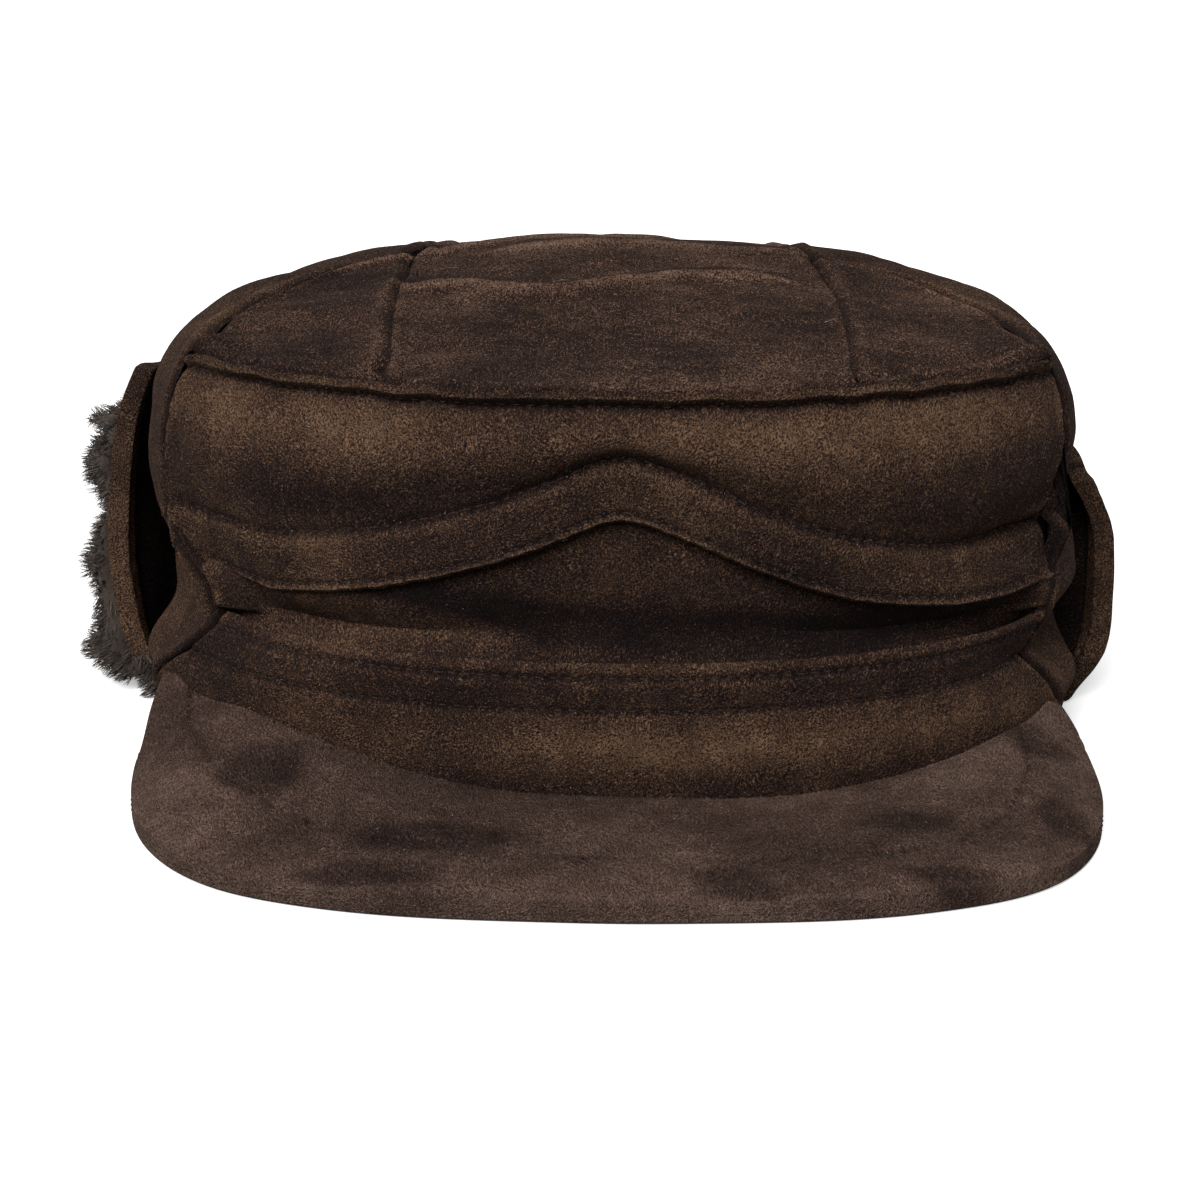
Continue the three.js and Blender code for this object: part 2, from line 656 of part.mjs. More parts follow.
// Columns crowd towards the flared front edge.
const flapAlong = (side, u) => (side === RIGHT ? u : 1 - u) ** FLAP_CROWDING;

function flapSurface(side) {
  return (u, v) => flapPoint(side, flapAlong(side, u), v, 0);
}

const furFront = (side) => (side === LEFT ? FUR_FRONT_LEFT : FUR_FRONT_RIGHT);
const furAlong = (side, u) => lerp(furFront(side), 1, side === RIGHT ? u : 1 - u);

function furSurface(side, off) {
  return (u, v) => flapPoint(side, furAlong(side, u), lerp(FUR_BOTTOM, FUR_TOP, v), off);
}

function toSolid(geometry) {
  return new wasm.Manifold(
    new wasm.Mesh({
      numProp: 3,
      vertProperties: geometry.attributes.position.array,
      triVerts: new Uint32Array(geometry.index.array),
    }),
  );
}

function toGeometry(solid) {
  const mesh = solid.getMesh();
  return new THREE.BufferGeometry()
    .setAttribute("position", new THREE.BufferAttribute(mesh.vertProperties, 3))
    .setIndex(new THREE.BufferAttribute(mesh.triVerts, 1));
}

// One lock of hair: a cone whose foot lies inside the backing and whose tip stands out and droops.
function lock(side, column, row) {
  const pile = side === LEFT ? FUR_PILE_LEFT : FUR_PILE_RIGHT;
  const geometry = new THREE.ConeGeometry(1, 1, LOCK_SIDES);
  const places = geometry.attributes.position;
  const quarterTurn = Math.PI * 0.25 * (CROWN_HALF_WIDTH + CROWN_BACK);
  for (let i = 0; i < places.count; i++) {
    const out = places.getY(i) + 0.5;
    const along = column + (places.getX(i) * LOCK_WIDTH * row.size) / quarterTurn;
    const rise = (-side * places.getZ(i) * LOCK_FOOT - out * out * row.droop) * LOCK_HEIGHT * row.size;
    const off = FUR_GAP + FUR_BACKING * LOCK_SINK + pile * row.pile * out;
    const surface = furSurface(side, off);
    const point = surface(side === RIGHT ? along : 1 - along, row.height + rise / FLAP_HEIGHT);
    places.setXYZ(i, point.x, point.y, point.z);
  }
  return merged(geometry);
}

function furGeometry(side) {
  const surface = furSurface(side, FUR_GAP + FUR_BACKING);
  let solid = toSolid(bentWall(14, 5, surface, FUR_BACKING));
  LOCK_ROWS.forEach((row, level) => {
    for (let i = 0; i < LOCK_COLUMNS; i++) {
      const column = (i + LOCK_STAGGER * (1 + (level % 2))) / (LOCK_COLUMNS + LOCK_STAGGER);
      solid = solid.add(toSolid(lock(side, column, row)));
    }
  });
  // Small voids closed in between locks are filled, so only the outer surface is kept.
  const [outer] = solid.decompose().sort((a, b) => b.volume() - a.volume());
  return toGeometry(outer);
}

const hat = new THREE.Group();
hat.add(
  piece("crown_top_centre", bentWall(10, 2 * ARC_COLUMNS, topCentreSurface, WALL), SUEDE),
  piece("crown_top_left", bentWall(5, ARC_COLUMNS, leafSurface(LEFT), WALL), SUEDE),
  piece("crown_top_right", bentWall(5, ARC_COLUMNS, leafSurface(RIGHT), WALL), SUEDE),
  piece("front_yoke", bentWall(22, YOKE_ROWS.length - 1, yokeSurface, WALL), SUEDE),
  piece("front_panel", bentWall(20, PANEL_ROWS.length - 1, panelSurface, WALL), SUEDE),
  piece("band_front", bentWall(24, BAND_ROWS.length - 1, bandSurface, WALL, 0, standing), SUEDE),
  piece("side_left", tallWall(SIDE_COLUMNS, sideSurface(LEFT)), SUEDE),
  piece("side_right", tallWall(SIDE_COLUMNS, sideSurface(RIGHT)), SUEDE),
  piece("crown_back", tallWall(5, backSurface), SUEDE),
  piece("peak_cover", bentWall(28, PEAK_STOPS.length - 1, peakSurface, PEAK_COVER, 0, upright), SUEDE),
  piece(
    "peak_facing",
    bentWall(28, PEAK_STOPS.length - 1, peakSurface, PEAK_FACING, PEAK_COVER + PLY_GAP, upright),
    SMOOTH_LEATHER,
  ),
  piece("flap_left", bentWall(18, FLAP_ROWS.length - 1, flapSurface(LEFT), WALL), SUEDE),
  piece("flap_right", bentWall(18, FLAP_ROWS.length - 1, flapSurface(RIGHT), WALL), SUEDE),
  piece("fur_left", furGeometry(LEFT), FUR_HAIR),
  piece("fur_right", furGeometry(RIGHT), FUR_HAIR),
);

// The origin is the middle of the whole hat's footprint, on the table.
const extent = new THREE.Box3().setFromObject(hat);
const middle = extent.getCenter(new THREE.Vector3());
hat.position.set(-middle.x, -middle.y, -extent.min.z);

export default hat;
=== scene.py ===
# %% [markdown]
# # A suede winter cap
# This lesson dresses a packed cap model as soft brown suede with a fur-lined flap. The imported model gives
# every panel its place and size. Each soft panel is copied, given a finer mesh, and then shaped with
# folds, stitched grooves and rolled edges. Sizes inside the lesson are in millimetres, and they become
# metres only when a mesh is written.

import math

import bmesh
import bpy
import numpy as np
from mathutils import Matrix, Vector, kdtree


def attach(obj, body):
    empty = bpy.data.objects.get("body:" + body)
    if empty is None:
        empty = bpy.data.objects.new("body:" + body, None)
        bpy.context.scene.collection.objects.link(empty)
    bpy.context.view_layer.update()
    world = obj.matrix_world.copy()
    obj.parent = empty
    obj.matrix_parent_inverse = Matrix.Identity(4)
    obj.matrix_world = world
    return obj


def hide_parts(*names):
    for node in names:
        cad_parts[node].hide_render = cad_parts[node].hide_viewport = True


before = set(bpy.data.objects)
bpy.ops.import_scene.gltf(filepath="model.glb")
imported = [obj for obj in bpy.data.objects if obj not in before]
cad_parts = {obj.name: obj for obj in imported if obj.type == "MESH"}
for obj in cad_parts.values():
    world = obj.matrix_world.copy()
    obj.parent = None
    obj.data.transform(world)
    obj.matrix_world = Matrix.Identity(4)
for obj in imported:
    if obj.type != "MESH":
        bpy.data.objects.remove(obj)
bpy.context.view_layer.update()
MM = 0.001
print("packed nodes:", len(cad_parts))

# %% [markdown]
# ## Where a point lies on the cap
# Folds and stitch rows run round the head, so it is easier to say where they are by an angle from the
# front and a height than by X and Y. The crown is a rounded oval that widens upwards. A small table with
# its half width, front and back reach at five heights turns a point into its angle and back. The oval's
# middle isn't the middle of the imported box, because the peak sticks out in front.

# %% The crown's oval
MIDDLE = np.array([3.3235, 6.3086, 0.0])
RIDGE = 89.5
ROUNDNESS = 0.93
HALF_WIDTH, FRONT_REACH, BACK_REACH = 102.0, 99.5, 112.0
OVAL_HEIGHT = np.array([0.0, 22.4, 44.8, 67.1, 89.5])
OVAL_WIDTH = HALF_WIDTH * np.array([0.98, 0.985, 0.99, 1.0, 0.995])
OVAL_FRONT = FRONT_REACH * np.array([0.878, 0.91, 0.94, 0.97, 1.0])
OVAL_BACK = BACK_REACH * np.array([0.935, 0.955, 0.98, 1.0, 0.985])


def signed_power(values, exponent):
    return np.sign(values) * np.abs(values) ** exponent


def oval_reach(height, forwards):
    return np.where(
        forwards,
        np.interp(height, OVAL_HEIGHT, OVAL_FRONT),
        np.interp(height, OVAL_HEIGHT, OVAL_BACK),
    )


def angle_of(points):
    """Degrees from the front, positive towards +X."""
    x, y, z = points.T
    across = x / np.interp(z, OVAL_HEIGHT, OVAL_WIDTH)
    ahead = -y / oval_reach(z, y < 0)
    return np.degrees(
        np.arctan2(signed_power(across, 1 / ROUNDNESS), signed_power(ahead, 1 / ROUNDNESS))
    )


def oval_point(angle, height, out=0.0):
    """Points on the crown's plain wall, moved out of it, and the outward direction there."""
    angle, height = np.broadcast_arrays(np.asarray(angle, float), np.asarray(height, float))
    sine, cosine = np.sin(np.radians(angle)), np.cos(np.radians(angle))
    width = np.interp(height, OVAL_HEIGHT, OVAL_WIDTH)
    reach = oval_reach(height, cosine > 0)
    away = np.stack(
        [
            signed_power(sine, 2 - ROUNDNESS) / width,
            -signed_power(cosine, 2 - ROUNDNESS) / reach,
            np.zeros_like(width),
        ],
        axis=-1,
    )
    away /= np.linalg.norm(away, axis=-1, keepdims=True)
    point = np.stack(
        [width * signed_power(sine, ROUNDNESS), -reach * signed_power(cosine, ROUNDNESS), height],
        axis=-1,
    )
    return point + away * np.asarray(out)[..., None], away


def wall_at(points):
    """The plain wall at each point's angle and height, and the outward direction there."""
    return oval_point(angle_of(points), np.clip(points[:, 2], 0, RIDGE))


def dots(a, b):
    """The dot product of each row of a with the same row of b."""
    return np.einsum("ij,ij->i", a, b)


def stands_out(points):
    """How far each point lies outside the plain wall, and the outward direction there."""
    base, away = wall_at(points)
    return dots(points - base, away), away


check = np.array([[60.0, -60.0, 40.0]])
print("angle of a point on the right front:", angle_of(check).round(1))

# %% [markdown]
# ## Irregular shapes that are the same each time
# Leather never lies quite even. Soft lumps are made from lattice noise: each corner of a grid gets a
# number worked out from its place, and points in between are blended smoothly. The numbers come from
# whole-number arithmetic, so the cap looks the same each time the lesson is run.


# %% Lattice noise
def lattice_noise(points, size, seed):
    """Smooth noise from -1 to 1 with lumps of about the given size in millimetres."""
    place = points / np.asarray(size, float) + 13.7 * seed
    cell = np.floor(place).astype(np.int64)
    part = place - cell
    part = part * part * (3 - 2 * part)
    total = np.zeros(len(points))
    for corner in range(8):
        step = np.array([corner & 1, corner >> 1 & 1, corner >> 2 & 1])
        at = cell + step
        mixed = at[:, 0] * 73856093 ^ at[:, 1] * 19349663 ^ at[:, 2] * 83492791 ^ seed * 265443576
        mixed = (mixed ^ mixed >> 13) * 1274126177 & 0xFFFFFFFF
        mixed = (mixed ^ mixed >> 16) * 668265263 & 0xFFFFFFFF
        value = (mixed >> 7 & 0xFFFF) / 32767.5 - 1
        total += value * np.prod(np.where(step, part, 1 - part), axis=1)
    return total


def ramp(values, start, end):
    share = np.clip((values - start) / (end - start), 0, 1)
    return share * share * (3 - 2 * share)


def hump(distance, width):
    return np.exp(-((distance / width) ** 2))


print("noise at the origin:", lattice_noise(np.zeros((1, 3)), 10, 1).round(3))

# %% [markdown]
# ## From a packed panel to a leather panel
# A packed panel is made of loose triangles. A copy of it is merged, its triangles are joined to quads, and
# its sharp outer edges are creased, so that a subdivision surface rounds the faces and leaves the outline
# where it is. A bevel then rolls the cut edges a little, as on soft leather.


# %% Refine a copy of a packed panel
def pick(piece):
    bpy.ops.object.select_all(action="DESELECT")
    piece.select_set(True)
    bpy.context.view_layer.objects.active = piece


def apply_modifier(piece, kind, **settings):
    modifier = piece.modifiers.new(kind.title(), kind)
    for name, value in settings.items():
        setattr(modifier, name, value)
    pick(piece)
    bpy.ops.object.modifier_apply(modifier=modifier.name)


def copy_node(node, name):
    piece = bpy.data.objects.new(name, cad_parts[node].data.copy())
    piece.data.name = name
    piece.data.materials.clear()
    bpy.context.collection.objects.link(piece)
    pick(piece)
    bpy.ops.object.mode_set(mode="EDIT")
    bpy.ops.mesh.select_all(action="SELECT")
    bpy.ops.mesh.remove_doubles(threshold=0.01 * MM)
    bpy.ops.mesh.tris_convert_to_quads(face_threshold=math.pi, shape_threshold=math.pi)
    bpy.ops.mesh.customdata_custom_splitnormals_clear()
    bpy.ops.object.mode_set(mode="OBJECT")
    return piece


PANEL_SHARP, SEAM_SHARP = math.radians(55), math.radians(40)


def leather_panel(node, name, levels=3, roll=0.6):
    piece = copy_node(node, name)
    bpy.ops.object.mode_set(mode="EDIT")
    bpy.ops.mesh.select_all(action="DESELECT")
    bpy.ops.mesh.select_mode(type="EDGE")
    bpy.ops.mesh.edges_select_sharp(sharpness=PANEL_SHARP)
    bpy.ops.transform.edge_crease(value=1)
    bpy.ops.object.mode_set(mode="OBJECT")
    apply_modifier(piece, "SUBSURF", levels=levels, render_levels=levels)
    apply_modifier(
        piece,
        "BEVEL",
        width=roll * MM,
        segments=2,
        limit_method="ANGLE",
        angle_limit=PANEL_SHARP,
        use_clamp_overlap=True,
    )
    return piece


def points_of(piece):
    """The piece's vertices in millimetres from the middle of the crown."""
    flat = np.empty(3 * len(piece.data.vertices))
    piece.data.vertices.foreach_get("co", flat)
    return flat.reshape(-1, 3) / MM - MIDDLE


def set_points(piece, points):
    piece.data.vertices.foreach_set("co", ((points + MIDDLE) * MM).ravel())
    piece.data.update()


def normals_of(piece):
    flat = np.empty(3 * len(piece.data.vertices))
    piece.data.vertex_normals.foreach_get("vector", flat)
    return flat.reshape(-1, 3)


def set_tone_and_painted_light(piece, tone_and_painted_light):
    """A tone shift at each vertex: above 0 for rubbed nap and painted highlights, below 0 for dark seams and
    painted shade.
    """
    layer = piece.data.attributes.get("tone_and_painted_light") or piece.data.attributes.new("tone_and_painted_light", "FLOAT", "POINT")
    layer.data.foreach_set("value", np.clip(tone_and_painted_light, -1, 1).astype(np.float32))


def tree_of(points):
    tree = kdtree.KDTree(len(points))
    for index, spot in enumerate(points):
        tree.insert(spot, index)
    tree.balance()
    return tree


def sharp_rim(piece):
    """The vertices on the panel's sharp edges."""
    mesh = bmesh.new()
    mesh.from_mesh(piece.data)
    rim = sorted({v.index for e in mesh.edges if e.calc_face_angle(0) > SEAM_SHARP for v in e.verts})
    mesh.free()
    return rim


def edge_distance(piece):
    """How far each vertex lies from the panel's cut edge, in millimetres."""
    spots = [vertex.co for vertex in piece.data.vertices]
    tree = tree_of([spots[index] for index in sharp_rim(piece)])
    return np.array([tree.find(spot)[2] for spot in spots]) / MM


yoke = leather_panel("front_yoke", "yoke")
print("yoke:", len(yoke.data.polygons), "faces")

# %% [markdown]
# ## Stitched grooves and puckers
# A row of machine stitches pulls the leather down into a narrow groove, and deepest at each hole. Beside
# the row, the leather that was eased into the seam stands up in small puckers. Both are made from
# the distance to the row and the way along it. The groove's numbers also paint shade into the groove.

# %% Shaping tools
MM_PER_DEGREE = math.radians(1) * HALF_WIDTH
PITCH = 2.9


def groove(distance, along, depth, width):
    """Depth of a stitched groove, and the painted shade in it."""
    pulls = 0.8 + 0.2 * np.cos(2 * math.pi * along / PITCH)
    shape = hump(distance, width) * pulls
    dashes = 0.9 + 0.6 * np.cos(2 * math.pi * along / PITCH)
    return -depth * shape, -hump(distance, 0.7 * width) * dashes


def puckers(distance, along, height, reach, seed, period=6.0):
    """Small ripples across a seam that die out within the reach."""
    place = np.stack([along, np.zeros_like(along), 0.4 * distance], axis=1)
    ripples = lattice_noise(place, period, seed) + 0.5 * lattice_noise(place, period / 2, seed + 1)
    return height * ripples * np.exp(-np.abs(distance) / reach)


def soft_lumps(points, height, size, seed, squash=(1, 1, 1)):
    stretched = points * np.asarray(squash, float)
    return height * (
        lattice_noise(stretched, size, seed) + 0.45 * lattice_noise(stretched, size / 2.3, seed + 1)
    )


def unit(rows):
    return rows / np.linalg.norm(rows, axis=1, keepdims=True)


def outward_of(points, top_share=0.0):
    """Out of the wall at the sides, turning to straight up where top_share is 1."""
    _, away = wall_at(points)
    up = np.array([0.0, 0.0, 1.0])
    turn = np.broadcast_to(top_share, len(points))[:, None] * math.pi / 2
    return unit(away * np.cos(turn) + up * np.sin(turn))


def pushed_out(points, move, top_share=0.0):
    return points + outward_of(points, top_share) * move[:, None]


def ridge_wave(points):
    """The ridge rises and falls a little, the same for the yoke and the top."""
    place = angle_of(points)[:, None] * [MM_PER_DEGREE, 0, 0]
    near = ramp(points[:, 2], 80, 86) * ramp(-points[:, 1], 20, 40)
    return near * (0.35 * lattice_noise(place, 7.0, 17) + 0.16 * lattice_noise(place, 3.0, 18))


def lower_edge(piece):
    """Height of the panel's lower edge at each whole degree, as a table."""
    points = points_of(piece)
    angle = angle_of(points)
    slots = np.round(angle).astype(int)
    angles = np.unique(slots)
    heights = np.array([points[slots == slot, 2].min() for slot in angles])
    return angles.astype(float), heights


def shoulder_share(points):
    """0 on the upright wall, 1 on the flat top."""
    reach = np.where(points[:, 1] < 0, FRONT_REACH, BACK_REACH)
    radius = np.hypot(points[:, 0] / HALF_WIDTH, points[:, 1] / reach)
    return ramp(points[:, 2], 66, 92) * ramp(1.06 - radius, 0.0, 0.35)


def seam_look(distance):
    """Push and wear beside a plain seam: a dark line with a light welt next to it."""
    push = 0.8 * hump(distance - 2.6, 1.3) - 0.7 * hump(distance, 0.9)
    return push, 0.5 * hump(distance - 2.8, 1.2) - 1.3 * hump(distance, 1.0)


def outer_rim(piece):
    """The rim vertices on the piece's outer face."""
    rim = sharp_rim(piece)
    points = points_of(piece)[rim]
    away = outward_of(points, shoulder_share(points))
    return points[dots(normals_of(piece)[rim], away) > 0.3]


STEP = 1.5


class EdgeProfile:
    """A wall piece's front or back edge: its angle and how far it stands out, at each height."""

    def __init__(self, piece, side, pick_edge):
        points = points_of(piece)
        out, _ = stands_out(points)
        angle = side * angle_of(points)
        rows = np.round(points[:, 2] / STEP).astype(int)
        self.heights, self.angles, self.outs = [], [], []
        for row in np.unique(rows):
            here = (rows == row) & (angle > 20)
            if here.any():
                edge = pick_edge(angle[here])
                self.heights.append(row * STEP)
                self.angles.append(edge)
                self.outs.append(out[here & (np.abs(angle - edge) < 1.6)].max())

    def out_at(self, height):
        return np.interp(height, self.heights, self.outs)

    def angle_at(self, height):
        return np.interp(height, self.heights, self.angles)

    def distance(self, points):
        return np.abs(np.abs(angle_of(points)) - self.angle_at(points[:, 2])) * MM_PER_DEGREE


def evened(table, count):
    padded = np.pad(table, count, mode="edge")
    return np.convolve(padded, np.ones(2 * count + 1) / (2 * count + 1), mode="valid")


def end_distance(piece):
    """How far each vertex of a front piece lies from the side seam at its end, in millimetres."""
    points = points_of(piece)
    ends = [EdgeProfile(piece, side, np.max).distance(points) for side in (-1, 1)]
    return np.where(points[:, 0] < 0, *ends)


SEAM_FIRM, SEAM_SPAN, SEAM_LEFT = 2.0, 11.0, 0.15


def follow_rim(piece, rim, pull, window):
    """Move the piece's rim by an evened pull, and the leather behind it less and less."""
    own = tree_of(rim)
    even = np.array([pull[[k for _, k, _ in own.find_range(spot, 4.0)]].mean(axis=0) for spot in rim])
    points = points_of(piece)
    found = [own.find(spot) for spot in points]
    nearest = np.array([index for _, index, _ in found])
    distance = np.array([away for _, _, away in found])
    share = (1 - ramp(distance, SEAM_FIRM, SEAM_SPAN)) * window(points)
    set_points(piece, points + even[nearest] * share[:, None])


def close_seam(piece, neighbours, reach, window=lambda points: 1.0):
    """Draw a piece's rim up to its neighbours' rims where they lie within the reach."""
    rim = outer_rim(piece)
    others = np.concatenate([outer_rim(other) for other in neighbours])
    tree = tree_of(others)
    found = [tree.find(spot) for spot in rim]
    target = others[[index for _, index, _ in found]]
    distance = np.array([away for _, _, away in found])
    share = np.clip(1 - SEAM_LEFT / np.maximum(distance, SEAM_LEFT), 0, 1)
    share *= 1 - ramp(distance, reach - 1, reach)
    follow_rim(piece, rim, (target - rim) * share[:, None], window)


hem = lower_edge(yoke)
print("hem height at the front and sides:", np.interp([0, -40, 40], *hem).round(1))

# %% [markdown]
# ## The yoke
# The puffed yoke is the part that the eye meets first. Its hem follows a chevron with a stitch row close to
# the edge. A second row runs 13 mm above it, and the leather swells out over that row. A third row runs
# under the ridge strip. Long shallow folds lie across the swell.

# %% Shape the yoke
CHEVRON = 12.7
HEM_ROW = 2.0
STRIP_ROW = 86.3
# Angle from the front and height of the hem.
HEM = (
    (-57, 44.2), (-49.3, 43.9), (-42.6, 43.3), (-33.5, 45.3), (-25.6, 47.8), (-18.7, 50.9), (-12.4, 54.3),
    (-6.4, 58.8), (-2, 62.9), (0, 63.8), (2, 62.9), (7.1, 58.7), (12.9, 53.6), (18.4, 49.6), (24.9, 45.8),
    (31.8, 43.7), (40, 41.8), (50, 41.4), (57, 42.2),
)  # fmt: skip
points = points_of(yoke)
angle = angle_of(points)
along = angle * MM_PER_DEGREE
lift = np.interp(angle, *zip(*HEM)) - np.interp(angle, *hem)
points[:, 2] += lift * (1 - ramp(points[:, 2], np.interp(angle, *hem) + 10, 82))
set_points(yoke, points)
hem = lower_edge(yoke)
height = points[:, 2]
above_hem = height - np.interp(angle, *hem)
slope = np.interp(angle, hem[0], np.gradient(hem[1], hem[0] * MM_PER_DEGREE))
lean = 1 / np.hypot(1, slope)
rim = edge_distance(yoke)
move = np.zeros(len(points))
tone_and_painted_light = np.zeros(len(points))
# Each stitch row sinks a groove with painted shade in it, and puckers the leather beside it.
for row_height, depth, width, ripple in (
    ((above_hem - HEM_ROW) * lean, 0.5, 0.8, 0.2),
    ((above_hem - CHEVRON) * lean, 1.1, 1.3, 0.35),
    (height - STRIP_ROW, 1.1, 1.1, 0.45),
):
    sunk, groove_shade = groove(row_height, along, depth, width)
    move += sunk
    tone_and_painted_light += groove_shade
    move += puckers(row_height, along, ripple, 4.0, 5, 5.0)
# Painted highlights under the chevron row, on the hem's rolled edge, on the ridge and on the upper swell;
# painted shade just above the chevron row, deeper across both sides, and low on the strip at the left.
tone_and_painted_light += 0.3 * hump((above_hem - CHEVRON + 2) * lean, 1.4) + 0.35 * hump((above_hem - 0.8) * lean, 0.8)
tone_and_painted_light += 0.35 * hump(height - 88.0, 1.0) + 0.65 * hump(height - 80, 6)
tone_and_painted_light -= 0.6 * hump(height - 66, 8) * hump(angle + 38, 14)
tone_and_painted_light -= 0.45 * hump(height - 68, 9) * hump(angle - 44, 12)
tone_and_painted_light -= 0.1 * hump(above_hem - CHEVRON - 6, 5) + 0.35 * hump(angle + 42, 9) * hump(above_hem - 7, 6)
body = ramp(above_hem, CHEVRON, CHEVRON + 6) * ramp(STRIP_ROW - height, 0, 5)
move += body * soft_lumps(points, 0.55, 26, 21, (1, 1, 2.2))
move += body * soft_lumps(points, 0.22, 8, 23, (1, 1, 1.6))
ends = end_distance(yoke)
seam_push, seam_wear = seam_look(ends)
move += seam_push + puckers(rim, height, 0.35, 3.5, 31, 7.0)
move += 4.0 * hump(above_hem - CHEVRON + 1.0, 5.5) * (1 - ramp(ends, 4, 20)) * (angle > 0)
tone_and_painted_light += seam_wear
points[:, 2] += ridge_wave(points)
set_points(yoke, pushed_out(points, move))
set_tone_and_painted_light(yoke, tone_and_painted_light)
print("yoke moved by", move.min().round(2), "to", move.max().round(2), "mm")

# %% [markdown]
# ## The lower front panel and the headband
# Under the hem the front panel falls back into a deep soft valley, with slack folds that run down from the
# hem. The band below it is firm. It has two stitch rows, 7 mm apart, and the leather between them bulges.

# %% Shape the lower front panel
panel = leather_panel("front_panel", "lower_front")
points = points_of(panel)
angle = angle_of(points)
move = soft_lumps(points, 0.8, 24, 41, (1, 1, 1.5)) + soft_lumps(points, 0.3, 9, 43, (1, 1, 0.7))
set_points(panel, pushed_out(points, move))
# Angle, height and half width of the painted shade along the valley.
VALLEY_SHADE = (
    (-35, 49.0, 2.0), (-17, 45.5, 3.0), (-8, 41.5, 4.0), (10, 38.5, 4.5), (30, 38.0, 4.0), (50, 38.0, 3.0),
)  # fmt: skip
valley_angle, valley_height, valley_width = np.array(VALLEY_SHADE).T
valley_shade = points[:, 2] - np.interp(angle, valley_angle, valley_height)
valley_shade = hump(valley_shade, np.interp(angle, valley_angle, valley_width)) * ramp(58 - np.abs(angle), 0, 16)
# Painted shade fills the valley; the panel is a little darker overall, with painted light under the hem's
# point and low on the left.
tone_and_painted_light = 0.15 * lattice_noise(points, 14, 45) - 0.1 - 1.6 * valley_shade
tone_and_painted_light += 0.1 * hump(points[:, 2] - 52, 5) * hump(angle, 9)
tone_and_painted_light += 0.45 * hump(points[:, 2] - 37.5, 2.5) * hump(angle + 18, 9)
set_tone_and_painted_light(panel, tone_and_painted_light + seam_look(end_distance(panel))[1])
print("lower front moved by up to", move.max().round(2), "mm")

# %% Shape the headband
BAND_ROWS = (32.0, 25.2)
band = leather_panel("band_front", "headband")
points = points_of(band)
angle = angle_of(points)
along = angle * MM_PER_DEGREE
height = points[:, 2]
rim = edge_distance(band)
move = soft_lumps(points, 0.5, 30, 51, (1, 1, 2.5)) + soft_lumps(points, 0.18, 8, 53, (1, 1, 1.8))
tone_and_painted_light = np.zeros(len(points))
# Each row sinks a groove with painted shade in it.
for row_height, depth in zip(BAND_ROWS, (0.7, 0.6)):
    sunk, groove_shade = groove(height - row_height, along, depth, 0.95)
    move += sunk + puckers(height - row_height, along, 0.32, 3.5, 55, 5.0)
    tone_and_painted_light += 0.9 * groove_shade
seam_push, seam_wear = seam_look(end_distance(band))
move += seam_push + puckers(rim, height, 0.3, 3, 57) * (height > 8)
# Painted light on the lower band; the band is also lighter along its top edge and darker between the rows,
# near the bottom and at the left end.
tone_and_painted_light += seam_wear + 0.1 * hump(height - 34.6, 1.0) + 0.9 * hump(height - 17, 6) * hump(angle - 10, 42)
tone_and_painted_light -= 0.4 * hump(height - 28.7, 2.2) + 0.25 * hump(height - 8, 4) + 0.35 * hump(angle + 55, 16)
move *= ramp(height, 0, 3)
set_points(band, pushed_out(points, move))
set_tone_and_painted_light(band, tone_and_painted_light)
print("headband:", len(band.data.polygons), "faces")

# %% [markdown]
# ## The side and back panels
# Each side panel starts upright beside the yoke and rolls over a round shoulder to the flat top. The
# direction of each fold's push turns with it, from out of the wall to straight up.


# %% Shape the side and back panels
SIDE_FOLDS = (
    (-84.0, 19.0, 11.0, 5.5, 3.4),
    (-82.0, 10.5, 9.0, 3.0, -1.6),
    (-74.0, 30.0, 12.0, 5.0, -1.2),
    (-78.0, 62.0, 16.0, 12.0, 1.4),
    (-80.0, 40.0, 14.0, 8.0, -2.4),
    (79.0, 15.0, 12.0, 5.0, 3.6),
    (76.0, 24.0, 9.0, 3.4, -3.0),
    (74.0, 37.0, 10.0, 6.0, 0.8),
    (72.0, 53.0, 10.0, 6.0, 0.8),
)


def side_folds(points):
    """Dents and bulges in the side panels: angle, height, reach, rise and depth of each."""
    angle = angle_of(points)
    total = np.zeros(len(points))
    for fold_angle, fold_height, reach, rise, depth in SIDE_FOLDS:
        total += depth * hump(angle - fold_angle, reach) * hump(points[:, 2] - fold_height, rise)
    return total


def shape_side(node, name, seed):
    piece = leather_panel(node, name)
    points = points_of(piece)
    rim = edge_distance(piece)
    if node != "crown_back":
        # Sharp folds inside the panel, behind its front edge, aren't seams.
        front = EdgeProfile(piece, -1 if node == "side_left" else 1, np.min).distance(points)
        inside = (front > 4) & (front < 32) & (points[:, 2] > 8) & (points[:, 2] < 68)
        rim = np.where(inside, np.maximum(rim, 6), rim)
    move = soft_lumps(points, 0.8, 30, seed, (1, 1, 1.6)) + soft_lumps(points, 0.25, 9, seed + 2)
    move += puckers(rim, points[:, 2] + points[:, 1], 0.45, 4, seed + 4, 7.0)
    seam_push, seam_wear = seam_look(rim)
    upright = ramp(points[:, 2], 4, 10)
    move += seam_push * upright + side_folds(points) * ramp(points[:, 2], 2, 8)
    move *= ramp(points[:, 2], 0, 4)
    set_points(piece, pushed_out(points, move, shoulder_share(points)))
    set_tone_and_painted_light(piece, seam_wear * upright)
    return piece


sides = [
    shape_side("side_left", "side_panel_left", 61),
    shape_side("side_right", "side_panel_right", 71),
    shape_side("crown_back", "back_panel", 81),
]
print("side and back panels:", [len(piece.data.polygons) for piece in sides])

# %% [markdown]
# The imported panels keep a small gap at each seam. Sewn leather has none, so each side panel's front edge is
# set as far out as the yoke and the band beside it, and is drawn forwards until it laps under them.

# %% Close the seams beside the front
LAP = 0.35
LEVELS = np.arange(3.0, 87.0, 1.0)


